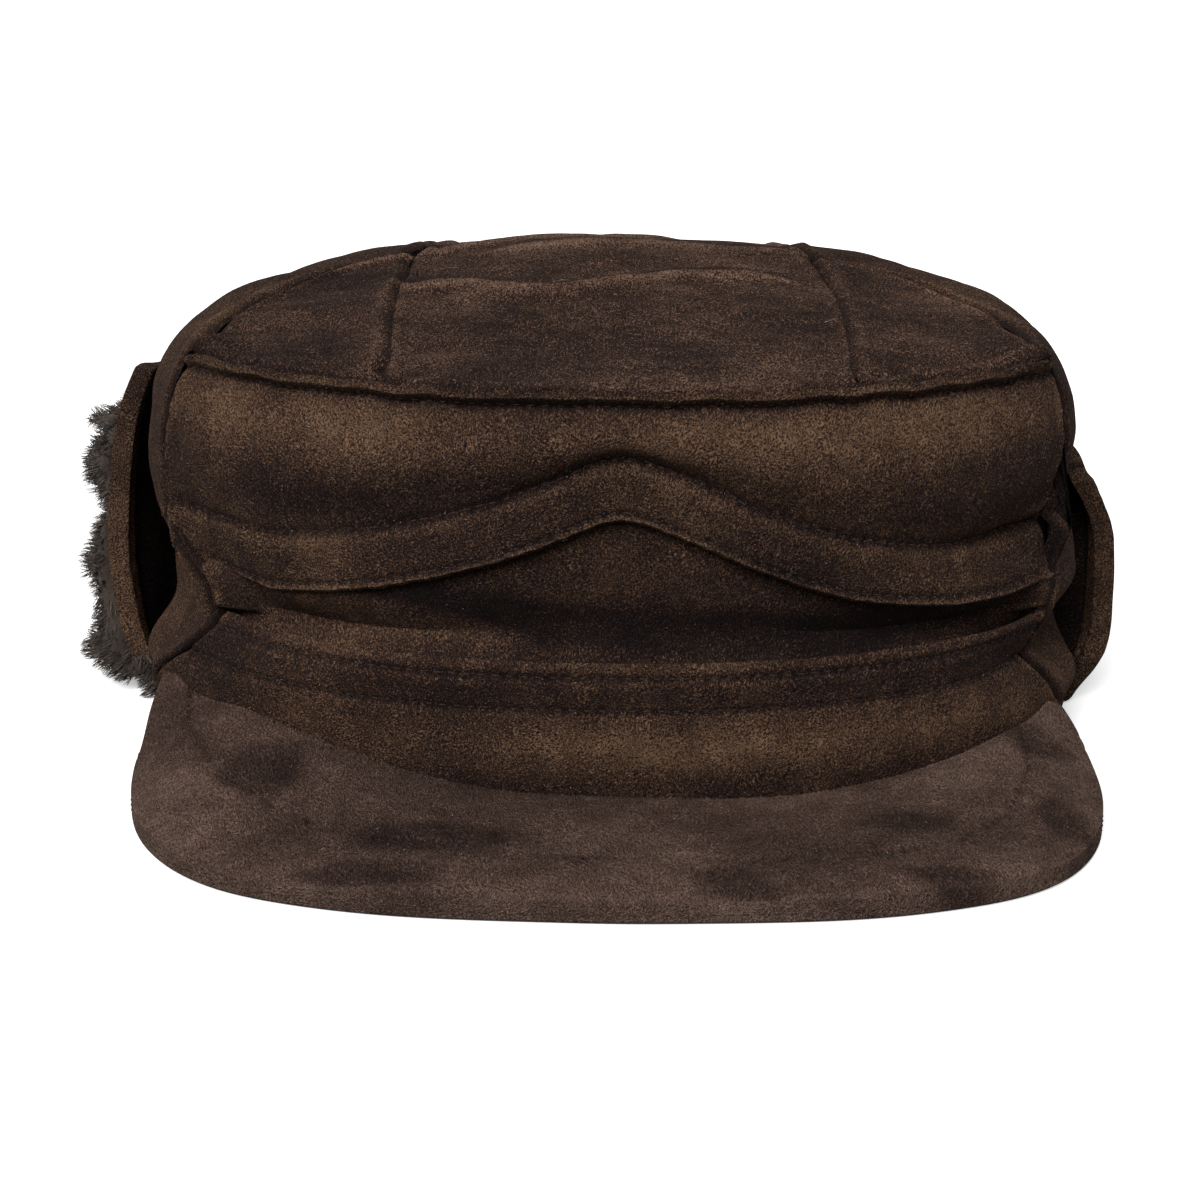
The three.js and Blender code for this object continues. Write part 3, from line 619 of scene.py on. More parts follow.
def level_seam(piece, side, fronts):
    """Set a side panel's front edge as far out as the front pieces' ends, and close any gap to them."""
    own = EdgeProfile(piece, side, np.min)
    ends = [EdgeProfile(front, side, np.max) for front in fronts]
    spots = [
        (z, end.out_at(z), end.angle_at(z))
        for end in ends
        for z in LEVELS
        if end.heights[0] + 1 <= z <= end.heights[-1] - 1
    ]
    spot_heights, spot_outs, spot_angles = np.array(sorted(spots)).T
    difference = evened(np.interp(LEVELS, spot_heights, spot_outs) - own.out_at(LEVELS), 2)
    gap = own.angle_at(LEVELS) - np.interp(LEVELS, spot_heights, spot_angles) + LAP
    closing = evened(np.clip(gap, 0, 4), 2) * MM_PER_DEGREE * side
    points = points_of(piece)
    height = points[:, 2]
    share = (1 - ramp(own.distance(points), 2, 15)) * (1 - ramp(height, 83, 88)) * ramp(height, 1, 4)
    share *= side * points[:, 0] > 0
    _, away = wall_at(points)
    forwards = np.stack([away[:, 1], -away[:, 0], np.zeros(len(away))], axis=1)
    push = share * np.interp(height, LEVELS, difference)
    shift = share * np.interp(height, LEVELS, closing)
    set_points(piece, points + away * push[:, None] + forwards * shift[:, None])


for piece, side in ((sides[0], -1), (sides[1], 1)):
    level_seam(piece, side, [band, yoke])
close_seam(sides[2], sides[:2], reach=3.0)
points = points_of(panel)
for piece, side in ((sides[0], -1), (sides[1], 1)):
    own, target = EdgeProfile(panel, side, np.max), EdgeProfile(piece, side, np.min)
    gap = target.out_at(points[:, 2]) - own.out_at(points[:, 2]) - 0.3
    share = (side * points[:, 0] > 0) * (1 - ramp(own.distance(points), 1, 15))
    share = share * ramp(points[:, 2], 34.4, 36.5) * ramp(46.5 - points[:, 2], 0, 2)
    points = points + wall_at(points)[1] * (gap * share)[:, None]
set_points(panel, points)
print("seams closed beside the yoke, the band and the lower front")

# %% [markdown]
# ## The top
# The flat top sags in shallow folds that run from side to side. A fold is a line in plan with a crest of
# its own height, steep towards the front and long towards the back. Where two panels meet, their turned-in
# edges lie under the leather and show as a low welt beside a dark seam line.

# %% Shape the top
# X and Y along each fold's crest.
FOLDS = (
    ((-74, 8), (-61, 20), (-47, 31), (-31, 44), (-19, 52), (-7, 57), (21, 67)),
    ((-34, 30), (-4, 40), (13, 37), (46, 37), (70, 30)),
    ((-52, -8), (-30, -13), (-21, -24), (-13, -26), (-5, -19), (4, -12), (15, -2), (40, 2)),
)
FOLD_HEIGHTS = (0.9, 0.9, 2.2)


def fold_crests(points):
    """Height of all the folds together, and a painted highlight on each crest with painted shade behind it.
    """
    total = np.zeros(len(points))
    crest_light_and_shade = np.zeros(len(points))
    for line, height in zip(FOLDS, FOLD_HEIGHTS):
        xs, ys = np.array(line, float).T
        ahead = points[:, 1] - np.interp(points[:, 0], xs, ys)
        ends = ramp(points[:, 0], xs[0] - 4, xs[0] + 14) * ramp(-points[:, 0], -xs[-1] - 4, 14 - xs[-1])
        shape = np.where(ahead < 0, hump(ahead, 3.2), hump(ahead, 9.0))
        total += height * ends * shape
        crest_light_and_shade += height * ends * (hump(ahead + 0.4, 1.7) - 0.45 * hump(ahead - 5.5, 3.0))
    return total, crest_light_and_shade


def shape_top(node, name, levels, seed):
    piece = leather_panel(node, name, levels)
    points = points_of(piece)
    rim = edge_distance(piece)
    folds, crest_light_and_shade = fold_crests(points)
    front = ramp(points[:, 1], -96, -84)
    move = soft_lumps(points, 0.7, 26, seed, (1, 1.5, 0))
    move += soft_lumps(points, 0.25, 9, seed + 2, (1, 1.4, 0))
    move = move * ramp(rim, 0, 8) + folds
    seam_push, seam_wear = seam_look(rim)
    move += front * seam_push + puckers(rim, points[:, 0] + points[:, 1], 0.3, 4, seed + 4)
    ridge_reach = FRONT_REACH * np.sqrt(np.clip(1 - (points[:, 0] / HALF_WIDTH) ** 2, 0, 1))
    points[:, 2] += move + ridge_wave(points) * (1 - ramp(points[:, 1] + ridge_reach, 4, 14))
    set_points(piece, points)
    # Painted highlights on the fold crests with painted shade behind them; the top is also lighter towards
    # the back and darker on the left.
    far = ramp(points[:, 1], 10, 60)
    left = hump(points[:, 0] + 62, 20) * (1 - far)
    set_tone_and_painted_light(piece, 0.7 * seam_wear * front + 2.2 * crest_light_and_shade + 0.6 * far - 0.5 * left)
    return piece


tops = [
    shape_top("crown_top_centre", "top_centre", 3, 91),
    shape_top("crown_top_left", "top_leaf_left", 4, 95),
    shape_top("crown_top_right", "top_leaf_right", 4, 97),
]
for piece in tops[1:]:
    tip = points_of(piece)[:, 1].max()
    close_seam(
        piece,
        [tops[0], *sides[:2]],
        reach=9.0,
        window=lambda points, tip=tip: ramp(points[:, 1], -88, -84) * ramp(tip - points[:, 1], 6, 20),
    )
print("top panels:", [len(piece.data.polygons) for piece in tops])

# %% [markdown]
# ## The peak
# The peak is a stiff board covered in suede, with a facing of smooth leather below. Close to its edge runs
# the row that joins cover and facing, and a second row lies further in.

# %% Shape the peak
# X and Y along the inner stitch row.
INNER_ROW = (
    (-92.4, -40.9), (-87.6, -65.7), (-80.1, -85.4), (-67.2, -103.7), (-56.7, -112.1), (-45.1, -117.0),
    (-31.9, -120.6), (-0.2, -124.6), (25.7, -124.3), (52.2, -119.5), (64.4, -112.5), (75.7, -99.5),
    (83.0, -76.2), (86.0, -53.7),
)  # fmt: skip


def line_distance(points, line):
    """Distance to a line in plan and the way along it."""
    line = np.array(line, float)
    best = np.full(len(points), 1e9)
    along = np.zeros(len(points))
    start_length = 0.0
    for a, b in zip(line[:-1], line[1:]):
        span = b - a
        share = np.clip(((points[:, :2] - a) @ span) / (span @ span), 0, 1)
        away = np.linalg.norm(points[:, :2] - a - share[:, None] * span, axis=1)
        length = np.linalg.norm(span)
        nearer = away < best
        along = np.where(nearer, start_length + share * length, along)
        best = np.where(nearer, away, best)
        start_length += length
    return best, along


cover = leather_panel("peak_cover", "peak_top", roll=0.9)
points = points_of(cover)
rim = edge_distance(cover)
upper = ramp(rim, 0, 1.5)
row, along = line_distance(points, INNER_ROW)
# The inner row sinks a groove with painted shade in it.
sunk, groove_shade = groove(row, along, 0.5, 0.7)
free_edge = ramp(np.hypot(points[:, 0] / 98.5, points[:, 1] / 143.5), 0.78, 0.86)
move = sunk + soft_lumps(points, 0.35, 24, 101, (1, 1, 0)) - 0.9 * hump(rim, 2.2) * free_edge
points[:, 2] += move * upper
turned = (1 - normals_of(cover)[:, 2]) / 2
points[:, 2] -= 1.7 * turned * hump(rim, 1.5) * free_edge
tips = ramp(np.abs(points[:, 0]), 84, 94) * ramp(points[:, 1], -60, -34)
points[:, 2] += np.where(points[:, 0] < 0, 8.5, 3.5) * tips


def tucked_in(points):
    """Draw the peak's inner edge into the band's wall."""
    beyond, away = stands_out(points)
    return points - away * (1.6 * (1 - ramp(beyond, 2, 12)))[:, None]


set_points(cover, tucked_in(points))
# X and Y of each dark patch, and its reach across and ahead.
PATCHES = (
    (-84, -36, 5, 13), (-71, -88, 9, 10), (-36, -116, 17, 7), (-48, -131, 13, 6), (53, -103, 10, 7),
    (62, -130, 10, 6), (86, -100, 6, 12), (22, -135, 11, 5), (87, -60, 6, 10),
)  # fmt: skip
frayed = points[:, :2] + 3.5 * np.stack([lattice_noise(points, 8, seed) for seed in (103, 105)], axis=1)
patch = np.zeros(len(points))
for x, y, across, ahead in PATCHES:
    patch += 1 - ramp(np.hypot((frayed[:, 0] - x) / across, (frayed[:, 1] - y) / ahead), 0.55, 1.25)
# Painted shade in the inner row's groove, dark patches on the suede, and lighter suede towards the free edge.
set_tone_and_painted_light(cover, 0.65 * groove_shade - 0.85 * np.clip(patch, 0, 1) + 0.3 * (1 - ramp(rim, 2, 20)) * free_edge + 0.22)
facing = leather_panel("peak_facing", "peak_underside", levels=2, roll=0.5)
points = points_of(facing)
points[:, :2] *= 0.995
set_points(facing, tucked_in(points))
set_tone_and_painted_light(facing, np.zeros(len(facing.data.vertices)))
print("peak cover:", len(cover.data.polygons), "faces")

# %% [markdown]
# ## The folded-up flap
# The flap is suede outside and fur inside. Folded up, its suede faces the crown and the fur shows. Its
# front edge is bound in a strip 5 mm wide with a stitch row.


# %% Shape the flap
BINDING = 5.2


def round_outline(piece, side):
    """Take the corners out of the flap's front edge, as seen from the front."""
    own = EdgeProfile(piece, side, np.min)
    heights = np.arange(0.0, 80.0, 1.0)
    outs = own.out_at(heights)
    points = points_of(piece)
    share = (1 - ramp(own.distance(points), 6, 30)) * (1 - ramp(points[:, 2], 56, 68))
    _, away = wall_at(points)
    push = share * np.interp(points[:, 2], heights, evened(evened(outs, 6), 6) - outs)
    set_points(piece, points + away * push[:, None])


def shape_flap(node, name, seed):
    piece = leather_panel(node, name, roll=1.4)
    round_outline(piece, -1 if node == "flap_left" else 1)
    points = points_of(piece)
    angle = angle_of(points)
    rim = edge_distance(piece)
    move = soft_lumps(points, 0.5, 28, seed, (1, 1, 1.4)) * ramp(points[:, 2], 0, 6)
    away = outward_of(points)
    facing_out = dots(normals_of(piece), away)
    front_edge = (np.abs(angle) - np.abs(angle).min()) * MM_PER_DEGREE
    bound = ramp(BINDING - np.minimum(front_edge, rim + 3), 0, 1.6) * ramp(points[:, 2], 2, 12)
    move += facing_out * 1.3 * bound
    if node == "flap_right":
        move += 2.3 * hump(points[:, 2] - 50, 19) * (1 - ramp(front_edge, 8, 42))
        points[:, 2] -= 0.45 * np.clip(points[:, 2] - 40, 0, 40) * (1 - ramp(front_edge, 20, 80))
    set_points(piece, points + away * move[:, None])
    # Painted shade on the inner face, which faces the crown; the binding is lighter, with a dark line along
    # its stitch row.
    shaded_inner_face = ramp(-facing_out, 0.2, 0.8)
    set_tone_and_painted_light(piece, 0.35 * bound - hump(front_edge - BINDING, 0.9) - shaded_inner_face * (1 - bound))
    return piece


flaps = [shape_flap("flap_left", "flap_suede_left", 111), shape_flap("flap_right", "flap_suede_right", 115)]
print("flap halves:", [len(piece.data.polygons) for piece in flaps])

# %% [markdown]
# ## Thread
# A stitch that shows is a short length of thread that dips into the leather at both ends. One is modelled
# and then copied along each row. Rays find where the leather's face lies.

# %% One stitch
bpy.ops.object.select_all(action="DESELECT")
bpy.ops.mesh.primitive_uv_sphere_add(segments=8, ring_count=6, radius=1)
stitch = bpy.context.active_object
stitch.name = "stitch_pattern"
STITCH_LENGTH = 1.9
STITCH_WIDTH = 0.36
template = np.empty(3 * len(stitch.data.vertices))
stitch.data.vertices.foreach_get("co", template)
template = template.reshape(-1, 3)[:, [2, 0, 1]] * [STITCH_LENGTH / 2, STITCH_WIDTH / 2, STITCH_WIDTH / 2]
template[:, 2] -= 0.22 * (template[:, 0] / (STITCH_LENGTH / 2)) ** 2
template_faces = [tuple(face.vertices) for face in stitch.data.polygons]
bpy.data.objects.remove(stitch)
print("a stitch has", len(template_faces), "faces")


# %% Rays that find the leather
CLEAR_OUT, CLEAR_AHEAD, CLEAR_UP = 60.0, 170.0, 200.0


def cast(piece, rays):
    """The place and the normal where each ray, a start and a direction, meets the piece."""
    found = []
    for start, towards in rays:
        hit, where, normal, _ = piece.ray_cast(Vector((start + MIDDLE) * MM), Vector(towards))
        if hit:
            found.append((np.array(where) / MM, np.array(normal)))
    return found


def hit_walls(piece, angles, heights):
    starts = [oval_point(angle, height, CLEAR_OUT) for angle, height in zip(angles, heights)]
    return cast(piece, [(point, -away) for point, away in starts])


def hit_top(piece, places):
    return cast(piece, [(np.array([x, y, CLEAR_UP]), (0, 0, -1)) for x, y in places])


def hit_edge(piece, angles, above):
    """Where level rays meet the peak's free edge, a little above its lowest line."""
    points = points_of(piece)
    middle = np.array([0.0, -40.0])
    turn = np.degrees(np.arctan2(points[:, 0], -(points[:, 1] - middle[1])))
    reach = np.hypot(points[:, 0], points[:, 1] - middle[1])
    rays = []
    for angle in angles:
        near = np.abs(turn - angle) < 1.5
        low = points[near & (reach > reach[near].max() - 4), 2].min()
        out = np.array([math.sin(math.radians(angle)), -math.cos(math.radians(angle)), 0.0])
        rays.append((np.array([0.0, middle[1], low + above]) + CLEAR_AHEAD * out, -out))
    return cast(piece, rays)


print("ray tools ready")


# %% Rows of stitches
def sew(found):
    """Stitches along a dense row of points, one every PITCH."""
    where, normal = (np.array(column) for column in zip(*found))
    length = np.concatenate([[0], np.cumsum(np.linalg.norm(np.diff(where, axis=0), axis=1))])

    def at(stop, table):
        return np.array([np.interp(stop, length, table[:, k]) for k in range(3)])

    made = []
    for stop in np.arange(PITCH / 2, length[-1] - PITCH / 2, PITCH):
        up = at(stop, normal)
        up /= np.linalg.norm(up)
        forward = at(stop + 0.8, where) - at(stop - 0.8, where)
        forward /= np.linalg.norm(forward)
        aside = np.cross(up, forward)
        aside /= np.linalg.norm(aside)
        made.append(at(stop, where) + template @ np.stack([forward, aside, up]))
    return made


def join_copies(name, copies, faces):
    count = len(copies[0])
    vertices = np.concatenate(copies) * MM
    mesh = bpy.data.meshes.new(name)
    corners = [tuple(i + count * n for i in face) for n in range(len(copies)) for face in faces]
    mesh.from_pydata(vertices.tolist(), [], corners)
    mesh.update()
    piece = bpy.data.objects.new(name, mesh)
    bpy.context.collection.objects.link(piece)
    pick(piece)
    bpy.ops.object.shade_smooth()
    return piece


yoke_turn = np.arange(-58, 58, 0.4)
band_turn = np.arange(-66, 66, 0.4)
hem_line = np.interp(yoke_turn, *hem)
rows = []
for heights in (hem_line + HEM_ROW, hem_line + CHEVRON, np.full(len(hem_line), STRIP_ROW)):
    rows += sew(hit_walls(yoke, yoke_turn, heights))
for row_height in BAND_ROWS:
    rows += sew(hit_walls(band, band_turn, np.full(len(band_turn), row_height)))
steps = np.linspace(0, len(INNER_ROW) - 1, 400)
dense = np.stack([np.interp(steps, range(len(INNER_ROW)), side) for side in zip(*INNER_ROW)], axis=1)
rows += sew(hit_top(cover, dense))
rows += sew(hit_edge(cover, np.arange(-84, 84, 0.5), 1.4))
thread = join_copies("thread", rows, template_faces)
print("stitches:", len(rows))

# %% [markdown]
# ## Fur
# Deep fur is made in two layers. The lower one is a lumpy pelt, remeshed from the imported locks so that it
# fills the pile's depth without gaps. Thousands of tapered hairs stand on it. Neighbouring hairs lean
# together, as in a sheepskin, because each hair's tip is drawn to the nearest lock's own tip.


# %% The pelt
def pelt(node, name, seed, swell):
    piece = copy_node(node, name)
    points = points_of(piece)
    normal = normals_of(piece)
    outer = ramp(dots(normal, wall_at(points)[1]), -0.5, 0)
    set_points(piece, points + (1.2 + 1.4 * swell) * outer[:, None] * normal)
    apply_modifier(piece, "REMESH", mode="VOXEL", voxel_size=1.6 * MM, adaptivity=0)
    apply_modifier(piece, "SMOOTH", factor=0.7, iterations=8)
    points = points_of(piece)
    depth, away = stands_out(points)
    outer = ramp(depth, 10, 13)
    lobes = 2.2 * hump(points[:, 2] - 61, 9) + 3.0 * hump(points[:, 2] - 28, 13)
    lobes -= 2.0 * hump(points[:, 2] - 46, 4)
    move = swell * (0.8 + lobes) + soft_lumps(points, 1.2, 10, seed) + soft_lumps(points, 0.6, 4, seed + 2)
    front_reach = (np.abs(angle_of(points)) - np.abs(angle_of(points)).min()) * MM_PER_DEGREE
    points[:, 1] -= swell * 5.0 * (1 - ramp(front_reach, 0, 28)) * ramp(depth, 5, 9)
    points[:, 2] -= swell * 3.0 * (1 - ramp(points[:, 2], 7, 20)) * ramp(depth, 5, 9)
    points[:, 2] -= 0.45 * swell * np.clip(points[:, 2] - 56, 0, 30) * (1 - ramp(front_reach, 16, 50))
    points[:, 2] -= (1 - swell) * 0.55 * np.clip(points[:, 2] - 40, 0, 40) * (1 - ramp(front_reach, 20, 80))
    move -= (1 - swell) * 2.5 * (1 - ramp(front_reach, 10, 40))
    set_points(piece, points + away * (move * outer)[:, None])
    pick(piece)
    bpy.ops.object.shade_smooth()
    return piece


pelts = [pelt("fur_left", "pelt_left", 121, 1.0), pelt("fur_right", "pelt_right", 125, 0.0)]
print("pelts:", [len(piece.data.polygons) for piece in pelts])

# %% One hair
bpy.ops.object.select_all(action="DESELECT")
bpy.ops.mesh.primitive_cone_add(vertices=3, radius1=1, radius2=0, depth=1, location=(0, 0, 0.5))
hair = bpy.context.active_object
bpy.ops.object.transform_apply(location=True)
bpy.ops.object.mode_set(mode="EDIT")
bpy.ops.mesh.select_all(action="SELECT")
bpy.ops.mesh.bisect(plane_co=(0, 0, 0.5), plane_no=(0, 0, 1))
bpy.ops.mesh.select_all(action="SELECT")
bpy.ops.mesh.quads_convert_to_tris()
bpy.ops.object.mode_set(mode="OBJECT")
hair_points = np.empty(3 * len(hair.data.vertices))
hair.data.vertices.foreach_get("co", hair_points)
hair_points = hair_points.reshape(-1, 3)
hair_faces = np.array([tuple(face.vertices) for face in hair.data.polygons])
bpy.data.objects.remove(hair)
print("a hair has", len(hair_faces), "triangles")


# %% Scatter roots over a piece, and grow strands from them
def scatter(piece, count, draw, weigh):
    """Random places on a piece, evenly by area times a weight, with the normals there."""
    mesh = piece.data
    mesh.calc_loop_triangles()
    corners = np.empty(3 * len(mesh.loop_triangles), dtype=np.int32)
    mesh.loop_triangles.foreach_get("vertices", corners)
    corners = corners.reshape(-1, 3)
    points = points_of(piece)
    a, b, c = (points[corners[:, k]] for k in range(3))
    normal = np.cross(b - a, c - a)
    area = np.linalg.norm(normal, axis=1) / 2
    normal /= np.maximum(2 * area, 1e-9)[:, None]
    weight = area * weigh((a + b + c) / 3, normal)
    chosen = draw.choice(len(corners), size=count, p=weight / weight.sum())
    u, v = draw.random((2, count))
    over = u + v > 1
    u, v = np.where(over, 1 - u, u), np.where(over, 1 - v, v)
    root = a[chosen] + u[:, None] * (b - a)[chosen] + v[:, None] * (c - a)[chosen]
    return root, normal[chosen]


def strands(name, root, bend, tip, width, draw):
    """Thin curved cones from root over bend to tip, as one mesh."""
    count = len(root)
    way = tip - root
    side = unit(np.cross(way, draw.normal(size=(count, 3))))
    other = unit(np.cross(way, side))
    level = hair_points[:, 2][None, :, None]
    curve = np.where(
        level < 0.5,
        root[:, None] * (1 - 2 * level) + bend[:, None] * 2 * level,
        bend[:, None] * (2 - 2 * level) + tip[:, None] * (2 * level - 1),
    )
    thick = width / 2 * draw.uniform(0.7, 1.2, count)[:, None, None]
    swarm = curve + thick * (
        hair_points[None, :, :1] * side[:, None] + hair_points[None, :, 1:2] * other[:, None]
    )
    faces = hair_faces[None] + len(hair_points) * np.arange(count)[:, None, None]
    made = bpy.data.meshes.new(name)
    made.vertices.add(swarm.shape[0] * swarm.shape[1])
    made.vertices.foreach_set("co", ((swarm.reshape(-1, 3) + MIDDLE) * MM).ravel())
    made.loops.add(faces.size)
    made.loops.foreach_set("vertex_index", faces.ravel())
    made.polygons.add(faces.size // 3)
    made.polygons.foreach_set("loop_start", np.arange(0, faces.size, 3))
    made.update(calc_edges=True)
    piece = bpy.data.objects.new(name, made)
    # Each hair has its own tint and darkens towards the root, as painted shade deep in the pile.
    tint = np.repeat(draw.uniform(-1, 1, count), len(hair_points)) * 0.4
    set_tone_and_painted_light(piece, tint + np.tile(hair_points[:, 2], count) * 0.6)
    bpy.context.collection.objects.link(piece)
    pick(piece)
    bpy.ops.object.shade_smooth()
    return piece


print("strands are ready to plant")


# %% Plant the hairs
def on_pile(centre, normal):
    """The pelt's outer side."""
    return 1.0 * (dots(normal, wall_at(centre)[1]) > -0.35)


def low_front(centre, _):
    """The lowest part of the left flap's front end."""
    near = ramp(107 - np.abs(angle_of(centre)), 0, 6)
    return near * ramp(13 - centre[:, 2], 0, 5)


HAIRS = 18000
HAIR_WIDTH = 0.22
LOCK_SIZE = 22
ABOVE_FLOOR = 0.3


def plant(base, name, count, length, seed, weigh=on_pile):
    """Hairs on a pelt or a flap, shorter at the right flap's front, with tips above the floor."""
    draw = np.random.default_rng(seed)
    root, normal = scatter(base, count, draw, weigh)
    lean = normal + 0.5 * wall_at(root)[1] + [0, 0, -0.35]
    for axis in range(3):
        lean[:, axis] += 0.55 * lattice_noise(root, 7, seed + axis) + draw.normal(0, 0.18, count)
    lean = unit(lean)
    reach = length * draw.uniform(0.6, 1.15, count)
    reach *= np.maximum(0.6 + 0.4 * ramp(np.abs(angle_of(root)), 106, 120), root[:, 0] < 0)
    tip = root + lean * reach[:, None]
    leaders = draw.choice(count, size=count // LOCK_SIZE, replace=False)
    tree = tree_of(root[leaders])
    nearest = leaders[[tree.find(spot)[1] for spot in root]]
    tip += 0.55 * (tip[nearest] - tip)
    tip[:, 2] = np.maximum(tip[:, 2], ABOVE_FLOOR)
    way = tip - root
    bend = root + 0.55 * way + 0.22 * np.linalg.norm(way, axis=1, keepdims=True) * lean
    return strands(name, root, bend, tip, HAIR_WIDTH, draw)


furs = [
    plant(pelts[0], "fur_hair_left_a", HAIRS, 3.6, 131),
    plant(pelts[0], "fur_hair_left_b", HAIRS, 2.6, 132),
    plant(flaps[0], "fur_hair_left_low", HAIRS // 6, 3.4, 135, low_front),
    plant(pelts[1], "fur_hair_right_a", HAIRS, 3.0, 133),
    plant(pelts[1], "fur_hair_right_b", HAIRS, 2.6, 134),
]
print("hairs:", 4 * HAIRS + HAIRS // 6)

# %% [markdown]
# ## Lint
# Pale fibres from the nap and the stitch holes lie on the suede as tiny bright specks. A few longer ones
# have settled on the top.


# %% Lay fibres on the suede
def lint(piece, name, count, length, width, seed, weigh):
    draw = np.random.default_rng(seed)
    root, normal = scatter(piece, count, draw, weigh)
    lean = draw.normal(size=(count, 3))
    lean = unit(lean - normal * dots(lean, normal)[:, None])
    way = lean * (length * draw.uniform(0.4, 1.3, count))[:, None]
    root = root + 0.03 * normal
    bend = root + 0.5 * way + normal * (0.1 + 0.1 * length * draw.random(count))[:, None]
    return strands(name, root, bend, root + way + 0.06 * normal, width, draw)


def outside(centre, normal):
    return dots(normal, outward_of(centre, shoulder_share(centre))) > 0.3


def upper_side(_, normal):
    return normal[:, 2] > 0.3


def near_rows(centre, normal):
    above = centre[:, 2] - np.interp(angle_of(centre), *hem)
    return outside(centre, normal) * (hump(above - HEM_ROW, 0.8) + hump(above - CHEVRON, 0.8) + 0.02)


specks = [
    lint(yoke, "lint_yoke", 420, 0.45, 0.11, 141, outside),
    lint(yoke, "lint_yoke_rows", 260, 0.4, 0.11, 142, near_rows),
    lint(band, "lint_band", 200, 0.45, 0.11, 143, outside),
    lint(panel, "lint_panel", 60, 0.45, 0.1, 144, outside),
    lint(tops[0], "lint_top", 160, 0.7, 0.11, 145, upper_side),
    lint(tops[0], "long_lint_top", 14, 5.0, 0.12, 146, upper_side),
    lint(cover, "lint_peak", 320, 0.5, 0.11, 147, upper_side),
]
print("pieces of lint:", len(specks))

# %% [markdown]
# ## Materials
# Shader maths is easier to read as plain sums, so a small class wraps a socket and builds a Math node for
# each operator. One method makes any other node.


# %% Sums of sockets
class Wire:
    def __init__(self, shader, socket):
        self.shader = shader
        self.socket = socket

    def math(self, operation, a, b):
        return self.shader.node("ShaderNodeMath", {"operation": operation}, {0: a, 1: b})

    def __add__(self, other):
        return self.math("ADD", self, other)

    def __radd__(self, other):
        return self.math("ADD", other, self)

    def __sub__(self, other):
        return self.math("SUBTRACT", self, other)

    def __rsub__(self, other):
        return self.math("SUBTRACT", other, self)

    def __mul__(self, other):
        return self.math("MULTIPLY", self, other)

    def __rmul__(self, other):
        return self.math("MULTIPLY", other, self)


class Shader:
    def __init__(self, name):
        self.material = bpy.data.materials.new(name)
        self.material.use_nodes = True
        self.tree = self.material.node_tree
        self.tree.nodes.clear()

    def node(self, kind, settings, inputs, output=0):
        made = self.tree.nodes.new(kind)
        for name, value in settings.items():
            if name == "stops":
                ramp_stops = made.color_ramp.elements
                while len(ramp_stops) > 1:
                    ramp_stops.remove(ramp_stops[-1])
                for index, (place, colour) in enumerate(value):
                    stop = ramp_stops[0] if index == 0 else ramp_stops.new(place)
                    stop.position = place
                    stop.color = (*colour, 1)
            else:
                setattr(made, name, value)
        for key, value in inputs.items():
            if isinstance(value, Wire):
                self.tree.links.new(value.socket, made.inputs[key])
            else:
                made.inputs[key].default_value = value
        return Wire(self, made.outputs[output])

    def place(self):
        return self.node("ShaderNodeTexCoord", {}, {}, output=3)

    def tone_and_painted_light(self):
        return self.node("ShaderNodeAttribute", {"attribute_name": "tone_and_painted_light"}, {}, output=2)

    def noise(self, place, scale, detail=2.0, roughness=0.5, output=0):
        inputs = {"Vector": place, "Scale": scale, "Detail": detail, "Roughness": roughness}
        return self.node("ShaderNodeTexNoise", {}, inputs, output)

    def bump(self, strength, distance, height):
        inputs = {"Strength": strength, "Distance": distance, "Height": height}
        return self.node("ShaderNodeBump", {}, inputs)

    def colour(self, value, stops):
        return self.node("ShaderNodeValToRGB", {"stops": stops}, {0: value})

    def clamp(self, value):
        return self.node("ShaderNodeClamp", {}, {0: value})

    def finish(self, colour, roughness, normal, **constants):
        inputs = {"Base Color": colour, "Roughness": roughness, "Normal": normal, **constants}
        surface = self.node("ShaderNodeBsdfPrincipled", {}, inputs)
        output = self.tree.nodes.new("ShaderNodeOutputMaterial")
        self.tree.links.new(surface.socket, output.inputs["Surface"])
        return self.material


print("shader tools ready")

# %% [markdown]
# ## Suede
# Suede is the raised flesh side of a hide. Its nap is a carpet of very short fibres that lie this way and
# that, so its colour changes in soft blotches, and single fibres catch the light as specks. Three sizes of
# noise give the blotches, the brushed streaks and the specks, with painted glints on the brightest. The
# number from the shaping lightens rubbed edges and darkens seams, and paints highlights and shade.


